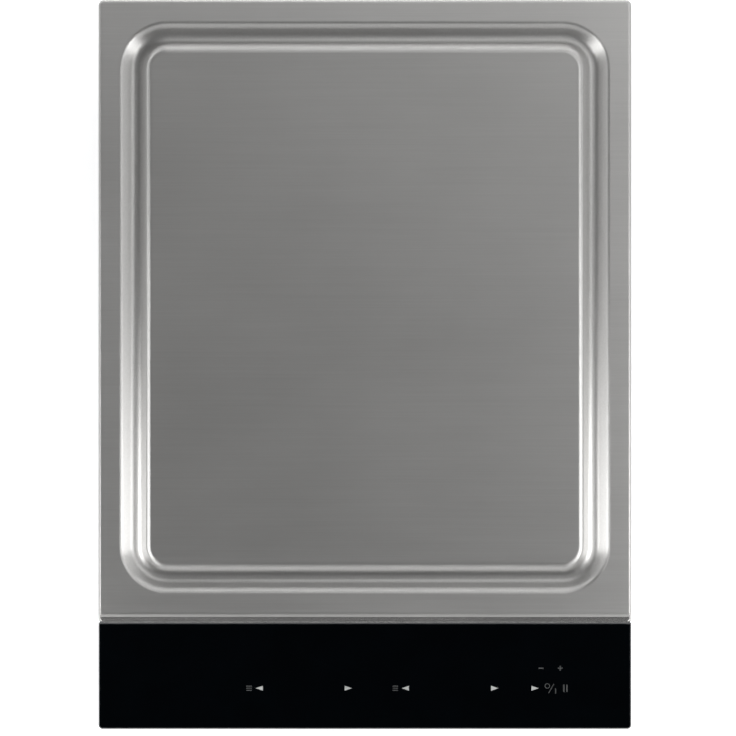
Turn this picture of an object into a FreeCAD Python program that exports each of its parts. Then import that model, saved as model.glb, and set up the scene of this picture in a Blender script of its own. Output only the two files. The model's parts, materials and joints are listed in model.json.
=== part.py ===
# Built-in induction teppanyaki cooktop: a deep-drawn steel griddle plate with a grease gutter, a black
# glass touch panel in front of it, and a sheet steel casing below the worktop with coils and electronics.
# Frame: +Z up, +Y to the back, origin in the worktop surface at the middle of the rim.
import FreeCAD, Part
import math
import os
from types import SimpleNamespace

import PartDesign
import Sketcher
from FreeCAD import Placement, Rotation, Vector

# Driving dimensions in millimetres, angles in degrees, and counts.
DIMENSIONS = (
    # Rim, glass and griddle plate
    ("overall_width", 380),
    ("overall_depth", 520),
    ("glass_depth", 75.7),
    ("glass_thickness", 4),
    ("glass_corner_radius", 3),
    ("glass_arris", 0.7),
    ("joint_gap", 0.3),
    ("plate_sheet", 1.5),
    ("plate_corner_radius", 4),
    ("plate_front_radius", 2.5),
    ("plate_edge_radius", 2),
    ("lip_width", 5.3),
    ("lip_drop", 2.5),
    ("lip_bend_radius", 6),
    ("rim_width", 16.5),
    ("gutter_width", 19.2),
    ("gutter_depth", 7),
    ("gutter_outer_run", 7.5),
    ("gutter_inner_run", 6.5),
    ("gutter_corner_radius", 32.8),
    ("gutter_bend_radius", 6),
    ("gutter_floor_radius", 5.5),
    ("cooking_drop", 1),
    # Frame and seal under the rim
    ("seal_thickness", 1.5),
    ("seal_inset", 1),
    ("seal_width", 8),
    ("seal_corner_radius", 3),
    ("frame_sheet", 1),
    ("frame_inset", 0.7),
    ("frame_corner_radius", 3.3),
    ("frame_clear", 3.7),
    ("frame_opening_radius", 20),
    ("panel_side_bar", 32),
    ("panel_front_bar", 22),
    ("panel_lap", 9.7),
    ("panel_opening_radius", 3),
    ("rail_inset", 5),
    ("rail_width", 8),
    ("rail_setback", 2),
    ("glue_thickness", 0.5),
    ("glue_width", 6),
    ("glue_inset", 2),
    # Layers under the cooking surface
    ("core_thickness", 4),
    ("core_inset", 4),
    ("core_corner_radius", 8),
    ("base_thickness", 0.8),
    ("mat_thickness", 4),
    ("mica_thickness", 0.5),
    ("mica_margin", 2),
    ("layer_gap", 0.2),
    ("sensor_hole_radius", 8),
    # Induction coils
    ("coil_wire", 3),
    ("coil_pitch", 3.6),
    ("coil_turns", 14),
    ("coil_outer_radius", 81),
    ("coil_straight", 105),
    ("carrier_margin", 4),
    ("carrier_thickness", 2.5),
    ("carrier_gap", 10),
    ("ferrite_length", 60),
    ("ferrite_width", 10),
    ("ferrite_thickness", 5),
    ("ferrite_start", 20),
    ("ferrite_spread", 26),
    ("ferrite_fan_angle", 45),
    ("pad_radius", 6),
    ("pad_height", 8),
    ("pad_side", 80),
    ("pad_reach", 64),
    ("shield_thickness", 1.5),
    ("shield_margin", 12),
    ("shield_side_gap", 22.5),
    ("lead_bend", 7),
    ("lead_clear", 1),
    ("outer_lead_out", 35.7),
    ("post_inset", 5),
    ("post_back", 55),
    # Spring-loaded temperature sensors
    ("sensor_gap", 0.3),
    ("sensor_head_radius", 6),
    ("sensor_head_height", 4),
    ("sensor_stem_radius", 3),
    ("sensor_play", 0.05),
    ("sensor_clip_radius", 4),
    ("sensor_clip_height", 0.9),
    ("cup_radius", 9),
    ("cup_bore_radius", 7),
    ("cup_depth", 5.8),
    ("cup_floor", 2),
    ("spring_wire", 0.6),
    ("spring_radius", 4.2),
    ("spring_turns", 6),
    ("spring_seat_gap", 0.06),
    # Casing below the worktop
    ("casing_side_inset", 18),
    ("casing_end_inset", 20),
    ("casing_depth", 82),
    ("casing_sheet", 1),
    ("casing_corner_radius", 3),
    ("flange_width", 7.5),
    ("vent_width", 3),
    ("vent_length", 26),
    ("vent_pitch", 9),
    ("vent_count", 14),
    ("vent_drop", 40),
    ("vent_shift", 40),
    ("screw_radius", 1.5),
    ("screw_head_radius", 3),
    ("screw_head_height", 1.8),
    ("screw_clear", 0.1),
    ("screw_slot_width", 0.8),
    ("screw_slot_depth", 0.7),
    ("screw_depth", 5),
    ("screw_corner_gap", 33.6),
    ("screw_middle_spread", 57.6),
    ("screw_side_gap", 65.36),
    ("slot_round_share", 0.49),
    # Cooling fan and air duct
    ("fan_side_gap", 82),
    ("fan_rear_gap", 90),
    ("fan_side", 80),
    ("fan_depth", 25),
    ("fan_corner_radius", 4),
    ("fan_bore_radius", 38),
    ("fan_tip_gap", 1.2),
    ("fan_hole_offset", 35.75),
    ("guard_thickness", 2),
    ("guard_lap", 2.5),
    ("guard_bar", 2.4),
    ("guard_rings", 3),
    ("hub_radius", 17),
    ("hub_wall", 1.5),
    ("hub_height", 18),
    ("hub_floor", 2),
    ("hub_lift", 2),
    ("blade_count", 7),
    ("blade_chord", 18),
    ("blade_thickness", 1.4),
    ("blade_pitch_angle", 38),
    ("motor_gap", 1),
    ("motor_height", 14),
    ("motor_base_height", 2),
    ("motor_base_radius", 16),
    ("strut_width", 4),
    ("shaft_radius", 1.5),
    ("shaft_play", 0.05),
    ("duct_wall", 1.5),
    ("duct_gap", 0.6),
    ("duct_reach", 22),
    ("duct_top", 28),
    # Electronics
    ("board_thickness", 1.6),
    ("board_lift", 7.4),
    ("board_side_gap", 34),
    ("board_rear_gap", 30),
    ("board_front_gap", 30),
    ("standoff_radius", 4),
    ("standoff_inset", 8),
    ("sink_width", 70),
    ("sink_length", 240),
    ("sink_height", 35),
    ("sink_base", 6),
    ("sink_fin", 2),
    ("sink_fins", 7),
    ("transistor_width", 16),
    ("transistor_height", 21),
    ("transistor_thickness", 5),
    ("transistor_pitch", 44),
    ("transistor_leg", 1.2),
    ("transistor_lift", 4),
    ("capacitor_length", 42),
    ("capacitor_width", 20),
    ("capacitor_height", 34),
    ("capacitor_pitch", 30),
    ("capacitor_count", 6),
    ("capacitor_start", 25),
    ("capacitor_gap", 11.2),
    ("capacitor_edge_radius", 2),
    ("choke_radius", 24),
    ("choke_height", 28),
    ("choke_edge", 2),
    ("choke_side", 30),
    ("choke_rear", 95),
    ("socket_side", 10),
    ("socket_height", 9),
    ("supply_radius", 1.6),
    ("supply_pitch", 9),
    ("supply_offset", 16),
    ("ribbon_width", 30),
    ("ribbon_thickness", 1.2),
    ("ribbon_setback", 6),
    # Touch panel electronics
    ("touch_board_drop", 4),
    ("touch_pad_radius", 3),
    ("display_height", 3.7),
    ("display_length", 40),
    ("display_depth", 6),
    ("icon_row_up", 28.6),
    ("icon_row_pitch", 14.4),
    ("left_less_in", 266.6),
    ("left_more_in", 203),
    ("right_less_in", 161.9),
    ("right_more_in", 97.8),
    ("next_in", 68.8),
    ("power_in", 57.4),
    ("pause_in", 47),
    ("minus_in", 64.7),
    ("plus_in", 50.9),
    ("tray_sheet", 1.5),
    ("tray_depth", 13),
    ("tray_gap", 1),
    ("tray_flange", 8),
    # Mains terminal box at the rear right corner
    ("terminal_width", 88),
    ("terminal_depth", 44),
    ("terminal_height", 40),
    ("terminal_wall", 2),
    ("terminal_setback", 1),
    ("block_inset", 8),
    ("block_depth", 14),
    ("block_cover", 6),
    ("earth_height", 5),
    ("lug_width", 4),
    ("grommet_offset", 18),
    ("hinge_radius", 2),
    ("hinge_pin_radius", 1),
    ("hinge_play", 0.05),
    ("hinge_gap", 0.3),
    ("lid_thickness", 2),
    ("grommet_radius", 9),
    ("grommet_bore_radius", 5.25),
    ("grommet_collar", 2),
    # Worktop clamps
    ("clamp_end_gap", 100),
    ("clamp_offset", 4.4),
    ("clamp_sheet", 1),
    ("clamp_half", 7),
    ("clamp_tab", 7.5),
    ("clamp_top_drop", 8),
    ("clamp_span", 53),
    ("clamp_screw_radius", 2),
    ("clamp_play", 0.05),
    ("clamp_head_radius", 3.2),
    ("clamp_head_height", 3),
    ("tongue_width", 6),
    ("tongue_length", 32),
    ("tongue_thickness", 3),
    ("tongue_lift", 2),
)

doc = FreeCAD.newDocument("teppanyaki_cooktop")
sheet = doc.addObject("Spreadsheet::Sheet", "dims")
for row, (alias, number) in enumerate(DIMENSIONS, start=1):
    sheet.set(f"A{row}", alias)
    sheet.set(f"B{row}", str(number))
    sheet.setAlias(f"B{row}", alias)
doc.recompute()


class Size:
    """A size that carries its value and the sheet formula that drives it."""

    def __init__(self, value, formula):
        self.value = float(value)
        self.formula = formula

    def __add__(self, other):
        other = size_of(other)
        return Size(self.value + other.value, f"({self.formula} + {other.formula})")

    def __sub__(self, other):
        other = size_of(other)
        return Size(self.value - other.value, f"({self.formula} - {other.formula})")

    def __mul__(self, other):
        other = size_of(other)
        return Size(self.value * other.value, f"({self.formula} * {other.formula})")

    def __truediv__(self, other):
        other = size_of(other)
        return Size(self.value / other.value, f"({self.formula} / {other.formula})")

    def __radd__(self, other):
        return size_of(other) + self

    def __rsub__(self, other):
        return size_of(other) - self

    def __rmul__(self, other):
        return size_of(other) * self

    def __neg__(self):
        return size_of(0) - self


def size_of(item):
    """A plain number as a Size, or the Size itself."""
    return item if isinstance(item, Size) else Size(item, repr(float(item)))


def value_of(item):
    return size_of(item).value


def sine(angle):
    return Size(math.sin(math.radians(angle.value)), f"sin({angle.formula})")


def cosine(angle):
    return Size(math.cos(math.radians(angle.value)), f"cos({angle.formula})")


def root(size):
    return Size(math.sqrt(size.value), f"sqrt({size.formula})")


def bind(item, path, size):
    """Tie a property, a constraint or a placement value to its sheet formula."""
    item.setExpression(path, size_of(size).formula)


d = SimpleNamespace(**{alias: Size(sheet.get(alias), f"dims.{alias}") for alias, _ in DIMENSIONS})
NODES = {}


def node(item, label):
    """Name a finished piece: its label is the name of its file."""
    item.Label = label
    NODES[label] = item
    return item


# Bodies, sketches and features


def new_body(name):
    return doc.addObject("PartDesign::Body", name)


def new_sketch(body, plane, offset=0):
    """An empty sketch on one of the body's origin planes, moved along that plane's normal."""
    sketch = body.newObject("Sketcher::SketchObject", body.Name + "_sketch")
    support = next(item for item in body.Origin.OriginFeatures if item.Role == plane + "_Plane")
    sketch.AttachmentSupport = [(support, "")]
    sketch.MapMode = "FlatFace"
    bind(sketch, "AttachmentOffset.Base.z", offset)
    return sketch


def constrain(sketch, rules, dimensions):
    """Add rules and dimensions to a sketch, and bind each dimension to the sheet."""
    sized = [Sketcher.Constraint(kind, *where, value_of(size)) for size, kind, *where in dimensions]
    indices = sketch.addConstraint(rules + sized)
    for index, (size, *_) in zip(indices[len(rules):], dimensions):
        bind(sketch, f"Constraints[{index}]", size)


def add_rectangle(sketch, width, depth, radius=None, centre=(0, 0)):
    """Draw a rectangle, with round corners where a radius is given, about a centre point."""
    wide, deep = value_of(width) / 2, value_of(depth) / 2
    cx, cy = value_of(centre[0]), value_of(centre[1])
    r = value_of(radius) if radius is not None else 0
    turns = ((1, -1, -90), (1, 1, 0), (-1, 1, 90), (-1, -1, 180))
    lines, arcs = [], []
    for (sx, sy, start), (ex, ey, _) in zip(turns, turns[1:] + turns[:1]):
        if r:
            middle = Vector(cx + sx * (wide - r), cy + sy * (deep - r), 0)
            circle = Part.Circle(middle, Vector(0, 0, 1), r)
            arcs.append(Part.ArcOfCircle(circle, math.radians(start), math.radians(start + 90)))
        vertical = sx == ex
        reach_x = wide - (0 if vertical else r)
        reach_y = deep - (r if vertical else 0)
        begin = Vector(cx + sx * reach_x, cy + sy * reach_y, 0)
        end = Vector(cx + ex * reach_x, cy + ey * reach_y, 0)
        lines.append(Part.LineSegment(begin, end))
    right, top, left, bottom = sketch.addGeometry(lines)
    middle = sketch.addGeometry(Part.Point(Vector(cx, cy, 0)))
    rules = [Sketcher.Constraint("Vertical", line) for line in (right, left)]
    rules += [Sketcher.Constraint("Horizontal", line) for line in (top, bottom)]
    if r:
        corners = sketch.addGeometry(arcs)
        ring = [item for pair in zip(corners, (right, top, left, bottom)) for item in pair]
        rules += [Sketcher.Constraint("Tangent", a, 2, b, 1) for a, b in zip(ring, ring[1:] + ring[:1])]
        rules += [Sketcher.Constraint("Equal", corners[0], other) for other in corners[1:]]
    else:
        ring = [right, top, left, bottom]
        rules += [Sketcher.Constraint("Coincident", a, 2, b, 1) for a, b in zip(ring, ring[1:] + ring[:1])]
    rules.append(Sketcher.Constraint("Symmetric", bottom, 1, top, 1, middle, 1))
    sizes = [
        (width, "DistanceX", left, 1, right, 1),
        (depth, "DistanceY", bottom, 1, top, 2),
        (centre[0], "DistanceX", -1, 1, middle, 1),
        (centre[1], "DistanceY", -1, 1, middle, 1),
    ]
    if r:
        sizes.append((radius, "Radius", corners[0]))
    constrain(sketch, rules, sizes)


def add_polygon(sketch, points):
    """Draw a closed outline of straight lines, with every corner dimensioned from the origin."""
    spots = [Vector(value_of(x), value_of(y), 0) for x, y in points]
    lines = sketch.addGeometry([Part.LineSegment(a, b) for a, b in zip(spots, spots[1:] + spots[:1])])
    pairs = zip(lines, lines[1:] + lines[:1])
    rules = [Sketcher.Constraint("Coincident", a, 2, b, 1) for a, b in pairs]
    sizes = []
    for line, (x, y) in zip(lines, points):
        sizes += [(x, "DistanceX", -1, 1, line, 1), (y, "DistanceY", -1, 1, line, 1)]
    constrain(sketch, rules, sizes)


def add_circle(sketch, radius, centre):
    spot = Vector(value_of(centre[0]), value_of(centre[1]), 0)
    circle = sketch.addGeometry(Part.Circle(spot, Vector(0, 0, 1), value_of(radius)))
    sizes = [
        (radius, "Radius", circle),
        (centre[0], "DistanceX", -1, 1, circle, 3),
        (centre[1], "DistanceY", -1, 1, circle, 3),
    ]
    constrain(sketch, [], sizes)


def grow(body, kind, sketch, length, symmetric=False, reversed_way=False):
    """Pad a sketch, or pocket it, by a bound length."""
    feature = body.newObject("PartDesign::" + kind, body.Name + "_" + kind.lower())
    feature.Profile = sketch
    feature.SideType = "Symmetric" if symmetric else "One side"
    feature.Reversed = reversed_way
    bind(feature, "Length", length)
    doc.recompute()
    return feature


def pad(body, sketch, length, symmetric=False):
    return grow(body, "Pad", sketch, length, symmetric)


def pocket(body, sketch, length, symmetric=False, upwards=False):
    """Cut down from the sketch, or up from it, and make sure that something was cut."""
    before = body.Shape.Volume
    feature = grow(body, "Pocket", sketch, length, symmetric, reversed_way=upwards)
    if body.Shape.Volume > before - 0.01:
        raise RuntimeError(f"{feature.Name} cuts nothing")
    return feature


def dress(body, kind, size, chosen):
    """Fillet or chamfer the edges of the body's last feature that the test picks."""
    base = body.Tip
    names = [f"Edge{i}" for i, edge in enumerate(base.Shape.Edges, start=1) if chosen(edge)]
    if not names:
        raise RuntimeError(f"{body.Name} has no edge to {kind.lower()}")
    feature = body.newObject("PartDesign::" + kind, body.Name + "_" + kind.lower())
    feature.Base = (base, names)
    bind(feature, "Radius" if kind == "Fillet" else "Size", size)
    doc.recompute()
    return feature


TOUCH = 1e-4
HALF_TURN = 180
FULL_TURN = 360


def near(number, size):
    return abs(number - value_of(size)) < TOUCH


def upright(edge):
    """True for a straight edge along Z."""
    box = edge.BoundBox
    return box.XLength < TOUCH and box.YLength < TOUCH and box.ZLength > TOUCH


def level(edge, height):
    """True for an edge that lies at one height."""
    return near(edge.BoundBox.ZMin, height) and near(edge.BoundBox.ZMax, height)


# Primitives, booleans and groups

TURNS = {"X": Rotation(Vector(0, 1, 0), 90), "Y": Rotation(Vector(1, 0, 0), -90), "Z": Rotation()}


def place(item, spot):
    for axis, size in zip("xyz", spot):
        bind(item, "Placement.Base." + axis, size)


def box(name, low, high):
    """A block between two opposite corners."""
    item = doc.addObject("Part::Box", name)
    for side, start, end in zip(("Length", "Width", "Height"), low, high):
        bind(item, side, size_of(end) - start)
    place(item, low)
    return item


def cylinder(name, radius, base, length, axis="Z"):
    """A round bar that starts at a point and runs along an axis."""
    item = doc.addObject("Part::Cylinder", name)
    item.Placement = Placement(Vector(), TURNS[axis])
    bind(item, "Radius", radius)
    bind(item, "Height", length)
    place(item, base)
    return item


def many(kind, name, property_name, items):
    if len(items) == 1:
        return items[0]
    item = doc.addObject(kind, name)
    setattr(item, property_name, list(items))
    return item


def fuse(name, *items):
    return many("Part::MultiFuse", name, "Shapes", items)


def group(name, *items):
    """Several separate solids that are kept together as one piece."""
    return many("Part::Compound", name, "Links", items)


def cut(name, base, *tools):
    item = doc.addObject("Part::Cut", name)
    item.Base = base
    item.Tool = fuse(name + "_tools", *tools)
    return item


def plate(name, low, thickness, outline, holes=()):
    """A flat sheet: one rounded rectangle padded upwards, with round or rectangular holes."""
    body = new_body(name)
    sketch = new_sketch(body, "XY", low)
    add_rectangle(sketch, *outline)
    for hole in holes:
        if len(hole) == 2:
            add_circle(sketch, *hole)
        else:
            add_rectangle(sketch, *hole)
    pad(body, sketch, thickness)
    return body


def span(low, high):
    """Length and middle of a stretch from low to high."""
    return size_of(high) - low, (size_of(low) + high) / 2


def mirrored(*spots):
    """Each spot on the right, and its mirror image on the left."""
    return [(size_of(x) * side, y) for x, y in spots for side in (1, -1)]


def slotted_head(name, x, y, low, upwards):
    """A screw head with a slot in its outer face."""
    head = cylinder(name + "_head", d.screw_head_radius, (x, y, low), d.screw_head_height)
    outer = low + d.screw_head_height - d.screw_slot_depth if upwards else low
    half = d.screw_slot_width / 2
    reach = d.screw_head_radius
    slot_high = outer + d.screw_slot_depth
    slot = box(name + "_slot", (x - reach, y - half, outer), (x + reach, y + half, slot_high))
    return cut(name + "_drive", head, slot)


def screw_up(name, x, y, seat, tip):
    """A screw with its head below the seat and its tip above it."""
    head = slotted_head(name, x, y, seat - d.screw_head_height, False)
    return fuse(name, head, cylinder(name + "_shank", d.screw_radius, (x, y, seat), tip - seat))


def screw_down(name, x, y, seat, tip):
    """A screw with its head on top of the seat and its tip below it."""
    head = slotted_head(name, x, y, seat, True)
    return fuse(name, head, cylinder(name + "_shank", d.screw_radius, (x, y, tip), seat - tip))


# Tubes along curved lines


def arc_edge(start, heading, end):
    """The circular arc that leaves start along a heading and reaches end, or a line where they agree."""
    chord = end - start
    side = chord - heading * chord.dot(heading)
    if side.Length < 1e-7:
        return Part.makeLine(start, end)
    side.normalize()
    radius = chord.dot(chord) / (2 * chord.dot(side))
    centre = start + side * radius
    middle = (start - centre) + (end - centre)
    middle.normalize()
    return Part.Arc(start, centre + middle * radius, end).toShape()


def biarc(start, heading, end, arrival):
    """Two arcs that meet smoothly between two points with given headings."""
    chord = end - start
    both = heading + arrival
    spread = 2 * (1 - heading.dot(arrival))
    lean = chord.dot(both)
    reach = (math.sqrt(lean * lean + spread * chord.dot(chord)) - lean) / spread
    middle = (start + end + (heading - arrival) * reach) * 0.5
    back_heading = arrival * -1
    return [arc_edge(start, heading, middle), reversed_arc(end, back_heading, middle)]


def reversed_arc(end, back_heading, middle):
    """The arc from middle to end, found from its end."""
    chord = middle - end
    side = chord - back_heading * chord.dot(back_heading)
    side.normalize()
    radius = chord.dot(chord) / (2 * chord.dot(side))
    centre = end + side * radius
    crown = (end - centre) + (middle - centre)
    crown.normalize()
    return Part.Arc(middle, centre + crown * radius, end).toShape()


def tube(edges, radius):
    """A round tube along a chain of edges."""
    wire = Part.Wire(edges)
    first = edges[0]
    start = first.valueAt(first.FirstParameter)
    heading = first.tangentAt(first.FirstParameter)
    ring = Part.Wire([Part.makeCircle(radius, start, heading)])
    return wire.makePipeShell([ring], True, False)


def bent_line(points, bend):
    """Straight runs through the points, joined by round bends."""
    spots = [Vector(*[value_of(c) for c in spot]) for spot in points]
    edges = []
    here = spots[0]
    for before, corner, after in zip(spots, spots[1:], spots[2:]):
        arriving = (corner - before).normalize()
        leaving = (after - corner).normalize()
        inset = bend * math.tan(arriving.getAngle(leaving) / 2)
        turn_start = corner - arriving * inset
        turn_end = corner + leaving * inset
        edges.append(Part.makeLine(here, turn_start))
        edges.append(arc_edge(turn_start, arriving, turn_end))
        here = turn_end
    edges.append(Part.makeLine(here, spots[-1]))
    return edges


def least_gap(edges, radius, loop_length):
    """Smallest free space between neighbouring loops of a tube, measured on points along its line."""
    cell = radius * 8
    cells = {}
    travelled = 0
    for edge in edges:
        points = edge.discretize(Number=max(3, int(edge.Length / radius * 2)))
        for before, after in zip(points, points[1:]):
            travelled += (after - before).Length
            key = tuple(int(c // cell) for c in after)
            cells.setdefault(key, []).append((travelled, after))
    closest = cell
    for (i, j, k), spots in cells.items():
        beside = [(i + a, j + b, k + c) for a in (-1, 0, 1) for b in (-1, 0, 1) for c in (-1, 0, 1)]
        others = [spot for key in beside for spot in cells.get(key, ())]
        for at_a, a in spots:
            for at_b, b in others:
                if at_b - at_a > loop_length / 2:
                    closest = min(closest, (a - b).Length)
    return closest - 2 * radius


def feature(name, shape):
    item = doc.addObject("Part::Feature", name)
    item.Shape = shape
    return item


# Heights from the worktop surface upwards, then down through the layers
frame_low = d.seal_thickness
frame_top = frame_low + d.frame_sheet
glass_low = frame_top + d.glue_thickness
glass_top = glass_low + d.glass_thickness
rim_top = glass_top + d.lip_drop
rim_low = rim_top - d.plate_sheet
cook_top = rim_top - d.cooking_drop
cook_low = cook_top - d.plate_sheet
core_low = cook_low - d.core_thickness
base_low = core_low - d.base_thickness
mat_low = base_low - d.mat_thickness
mica_low = mat_low - d.mica_thickness
wire_top = mica_low - d.layer_gap
wire_middle = wire_top - d.coil_wire / 2
carrier_top = wire_top - d.coil_wire - d.layer_gap
carrier_low = carrier_top - d.carrier_thickness
cup_low = carrier_low - d.cup_depth
cup_seat = cup_low + d.cup_floor
shield_top = carrier_low - d.pad_height
shield_low = shield_top - d.shield_thickness
casing_low = -d.casing_depth
floor_top = casing_low + d.casing_sheet
board_low = floor_top + d.board_lift
board_top = board_low + d.board_thickness

# Places along the depth and across the width
front = -d.overall_depth / 2
back = d.overall_depth / 2
side = d.overall_width / 2
glass_back = front + d.glass_depth
plate_front = glass_back + d.joint_gap
rim_front = plate_front + d.lip_width
griddle_y = (rim_front + back) / 2
gutter_outer = (d.overall_width - d.rim_width * 2, back - rim_front - d.rim_width * 2)
gutter_inner = tuple(length - d.gutter_width * 2 for length in gutter_outer)
wall_x = side - d.casing_side_inset
wall_y = back - d.casing_end_inset
carrier_half_depth = d.coil_outer_radius + d.carrier_margin
carrier_half_width = d.coil_straight / 2 + carrier_half_depth
coil_reach = carrier_half_depth + d.carrier_gap / 2
COILS = (("front", griddle_y - coil_reach), ("rear", griddle_y + coil_reach))


def across(edge, place):
    """True for an edge along X at one place along the depth."""
    box = edge.BoundBox
    return near(box.YMin, place) and near(box.YMax, place) and box.XLength > TOUCH


def on_top_edge(edge):
    """True for the edges round the top of the plate: back, rear corners, sides and the ends of the lip."""
    box = edge.BoundBox
    corner = value_of(back - d.plate_corner_radius) - TOUCH
    at_side = near(abs(box.XMin), d.overall_width / 2) and box.XLength < TOUCH
    slanted = box.ZMin > value_of(glass_top) and box.YLength > TOUCH
    return level(edge, rim_top) and box.YMax > corner or at_side and slanted


def in_gutter(edge):
    """True for an edge that lies inside the rim, on the outline of the gutter."""
    box = edge.BoundBox
    inside_x = max(abs(box.XMin), abs(box.XMax)) < value_of(gutter_outer[0]) / 2 + TOUCH
    reach = value_of(gutter_outer[1]) / 2 + TOUCH
    inside_y = max(abs(box.YMin - griddle_y.value), abs(box.YMax - griddle_y.value)) < reach
    return inside_x and inside_y


def make_teppan_plate():
    """The steel plate: turned-down edges, a slanted lip and a gutter round the cooking surface."""
    body = new_body("teppan_plate")
    profile = new_sketch(body, "YZ")
    lip = (plate_front, glass_top)
    foot = [(plate_front, frame_top), (back, frame_top)]
    add_polygon(profile, foot + [(back, rim_top), (rim_front, rim_top), lip])
    pad(body, profile, d.overall_width, symmetric=True)
    dress(body, "Fillet", d.lip_bend_radius, lambda e: across(e, rim_front) and level(e, rim_top))
    dress(body, "Fillet", d.plate_corner_radius, lambda e: upright(e) and near(e.BoundBox.YMax, back))
    dress(body, "Fillet", d.plate_front_radius, lambda e: upright(e) and near(e.BoundBox.YMin, plate_front))
    dress(body, "Fillet", d.plate_edge_radius, lambda e: on_top_edge(e))
    inside = new_sketch(body, "YZ")
    wall_front = plate_front + d.plate_sheet
    wall_back = back - d.plate_sheet
    hollow = [
        (wall_front, frame_top),
        (wall_back, frame_top),
        (wall_back, rim_low),
        (rim_front + d.plate_sheet / 2, rim_low),
        (wall_front, glass_top - d.plate_sheet / 2),
    ]
    add_polygon(inside, hollow)
    pocket(body, inside, d.overall_width - d.plate_sheet * 2, symmetric=True)
    opening = new_sketch(body, "XY", rim_top)
    add_rectangle(opening, *gutter_outer, d.gutter_corner_radius, (0, griddle_y))
    pocket(body, opening, d.plate_sheet)
    path = new_sketch(body, "XY", rim_top)
    add_gutter_path(path, *gutter_outer)
    section = new_sketch(body, "XZ", -griddle_y)
    add_gutter_section(section, gutter_outer[0] / 2)
    gutter = body.newObject("PartDesign::AdditivePipe", "gutter_pipe")
    gutter.Profile = section
    gutter.Spine = (path, [f"Edge{i}" for i in range(1, len(path.Shape.Edges) + 1)])
    doc.recompute()
    surface = new_sketch(body, "XY", cook_low)
    add_rectangle(surface, *gutter_inner, d.gutter_corner_radius - d.gutter_width, (0, griddle_y))
    pad(body, surface, d.plate_sheet)
    floor = rim_top - d.gutter_depth
    dress(body, "Fillet", d.gutter_bend_radius, lambda e: level(e, rim_top) and in_gutter(e))
    dress(body, "Fillet", d.gutter_bend_radius, lambda e: level(e, cook_top) and in_gutter(e))
    for height in (floor, floor - d.plate_sheet):
        dress(body, "Fillet", d.gutter_floor_radius, lambda e: level(e, height) and in_gutter(e))
    return node(body, "teppan_plate")


def add_gutter_path(sketch, width, depth):
    """The gutter's outer line as a closed path that starts in the middle of its right side."""
    wide, deep, r = value_of(width) / 2, value_of(depth) / 2, d.gutter_corner_radius.value
    y = griddle_y.value
    corners = []
    for sx, sy, start in ((1, 1, 0), (-1, 1, 90), (-1, -1, 180), (1, -1, 270)):
        circle = Part.Circle(Vector(sx * (wide - r), y + sy * (deep - r), 0), Vector(0, 0, 1), r)
        corners.append(Part.ArcOfCircle(circle, math.radians(start), math.radians(start + 90)))
    edges = [Part.LineSegment(Vector(wide, y, 0), corners[0].StartPoint)]
    for corner, after in zip(corners, corners[1:]):
        edges += [corner, Part.LineSegment(corner.EndPoint, after.StartPoint)]
    edges += [corners[3], Part.LineSegment(corners[3].EndPoint, Vector(wide, y, 0))]
    chain = sketch.addGeometry(edges)
    arcs = chain[1::2]
    lines = chain[0::2]
    rules = [Sketcher.Constraint("Tangent", a, 2, b, 1) for a, b in zip(chain, chain[1:])]
    rules += [Sketcher.Constraint("Coincident", chain[-1], 2, chain[0], 1)]
    rules += [Sketcher.Constraint("Equal", arcs[0], other) for other in arcs[1:]]
    rules += [Sketcher.Constraint("Vertical", line) for line in (lines[0], lines[2], lines[4])]
    rules += [Sketcher.Constraint("Horizontal", line) for line in (lines[1], lines[3])]
    sizes = [
        (d.gutter_corner_radius, "Radius", arcs[0]),
        (width / 2, "DistanceX", -1, 1, lines[0], 1),
        (griddle_y, "DistanceY", -1, 1, lines[0], 1),
        (width, "DistanceX", lines[2], 1, lines[0], 1),
        (depth / 2, "DistanceY", lines[0], 1, lines[1], 1),
        (depth, "DistanceY", lines[3], 1, lines[1], 1),
    ]
    constrain(sketch, rules, sizes)


def add_gutter_section(sketch, start):
    """The gutter's sheet section, from its outer edge inwards."""
    end = start - d.gutter_width
    floor = rim_top - d.gutter_depth
    top = [
        (start, rim_top),
        (start - d.gutter_outer_run, floor),
        (end + d.gutter_inner_run, floor),
        (end, cook_top),
    ]
    add_polygon(sketch, top + [(x, z - d.plate_sheet) for x, z in reversed(top)])


def flange_screw_spots():
    """Screws through the casing flange into the frame."""
    x = wall_x + d.flange_width / 2
    y = wall_y + d.flange_width / 2
    far = wall_y - d.screw_corner_gap
    close = d.screw_middle_spread
    ends = wall_x - d.screw_side_gap
    return mirrored((x, far), (x, close), (x, -close), (x, -far), (ends, y), (ends, -y))


def tray_screw_spots():
    x = tray_x + d.tray_flange / 2
    return mirrored((x, panel_y + tray_half / 2), (x, panel_y - tray_half / 2))


panel_opening_front = front + d.panel_front_bar
panel_opening_back = glass_back - d.panel_lap
panel_depth, panel_y = span(panel_opening_front, panel_opening_back)
tray_x = side - d.panel_side_bar
tray_half = panel_depth / 2 - d.tray_gap / 2


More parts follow.
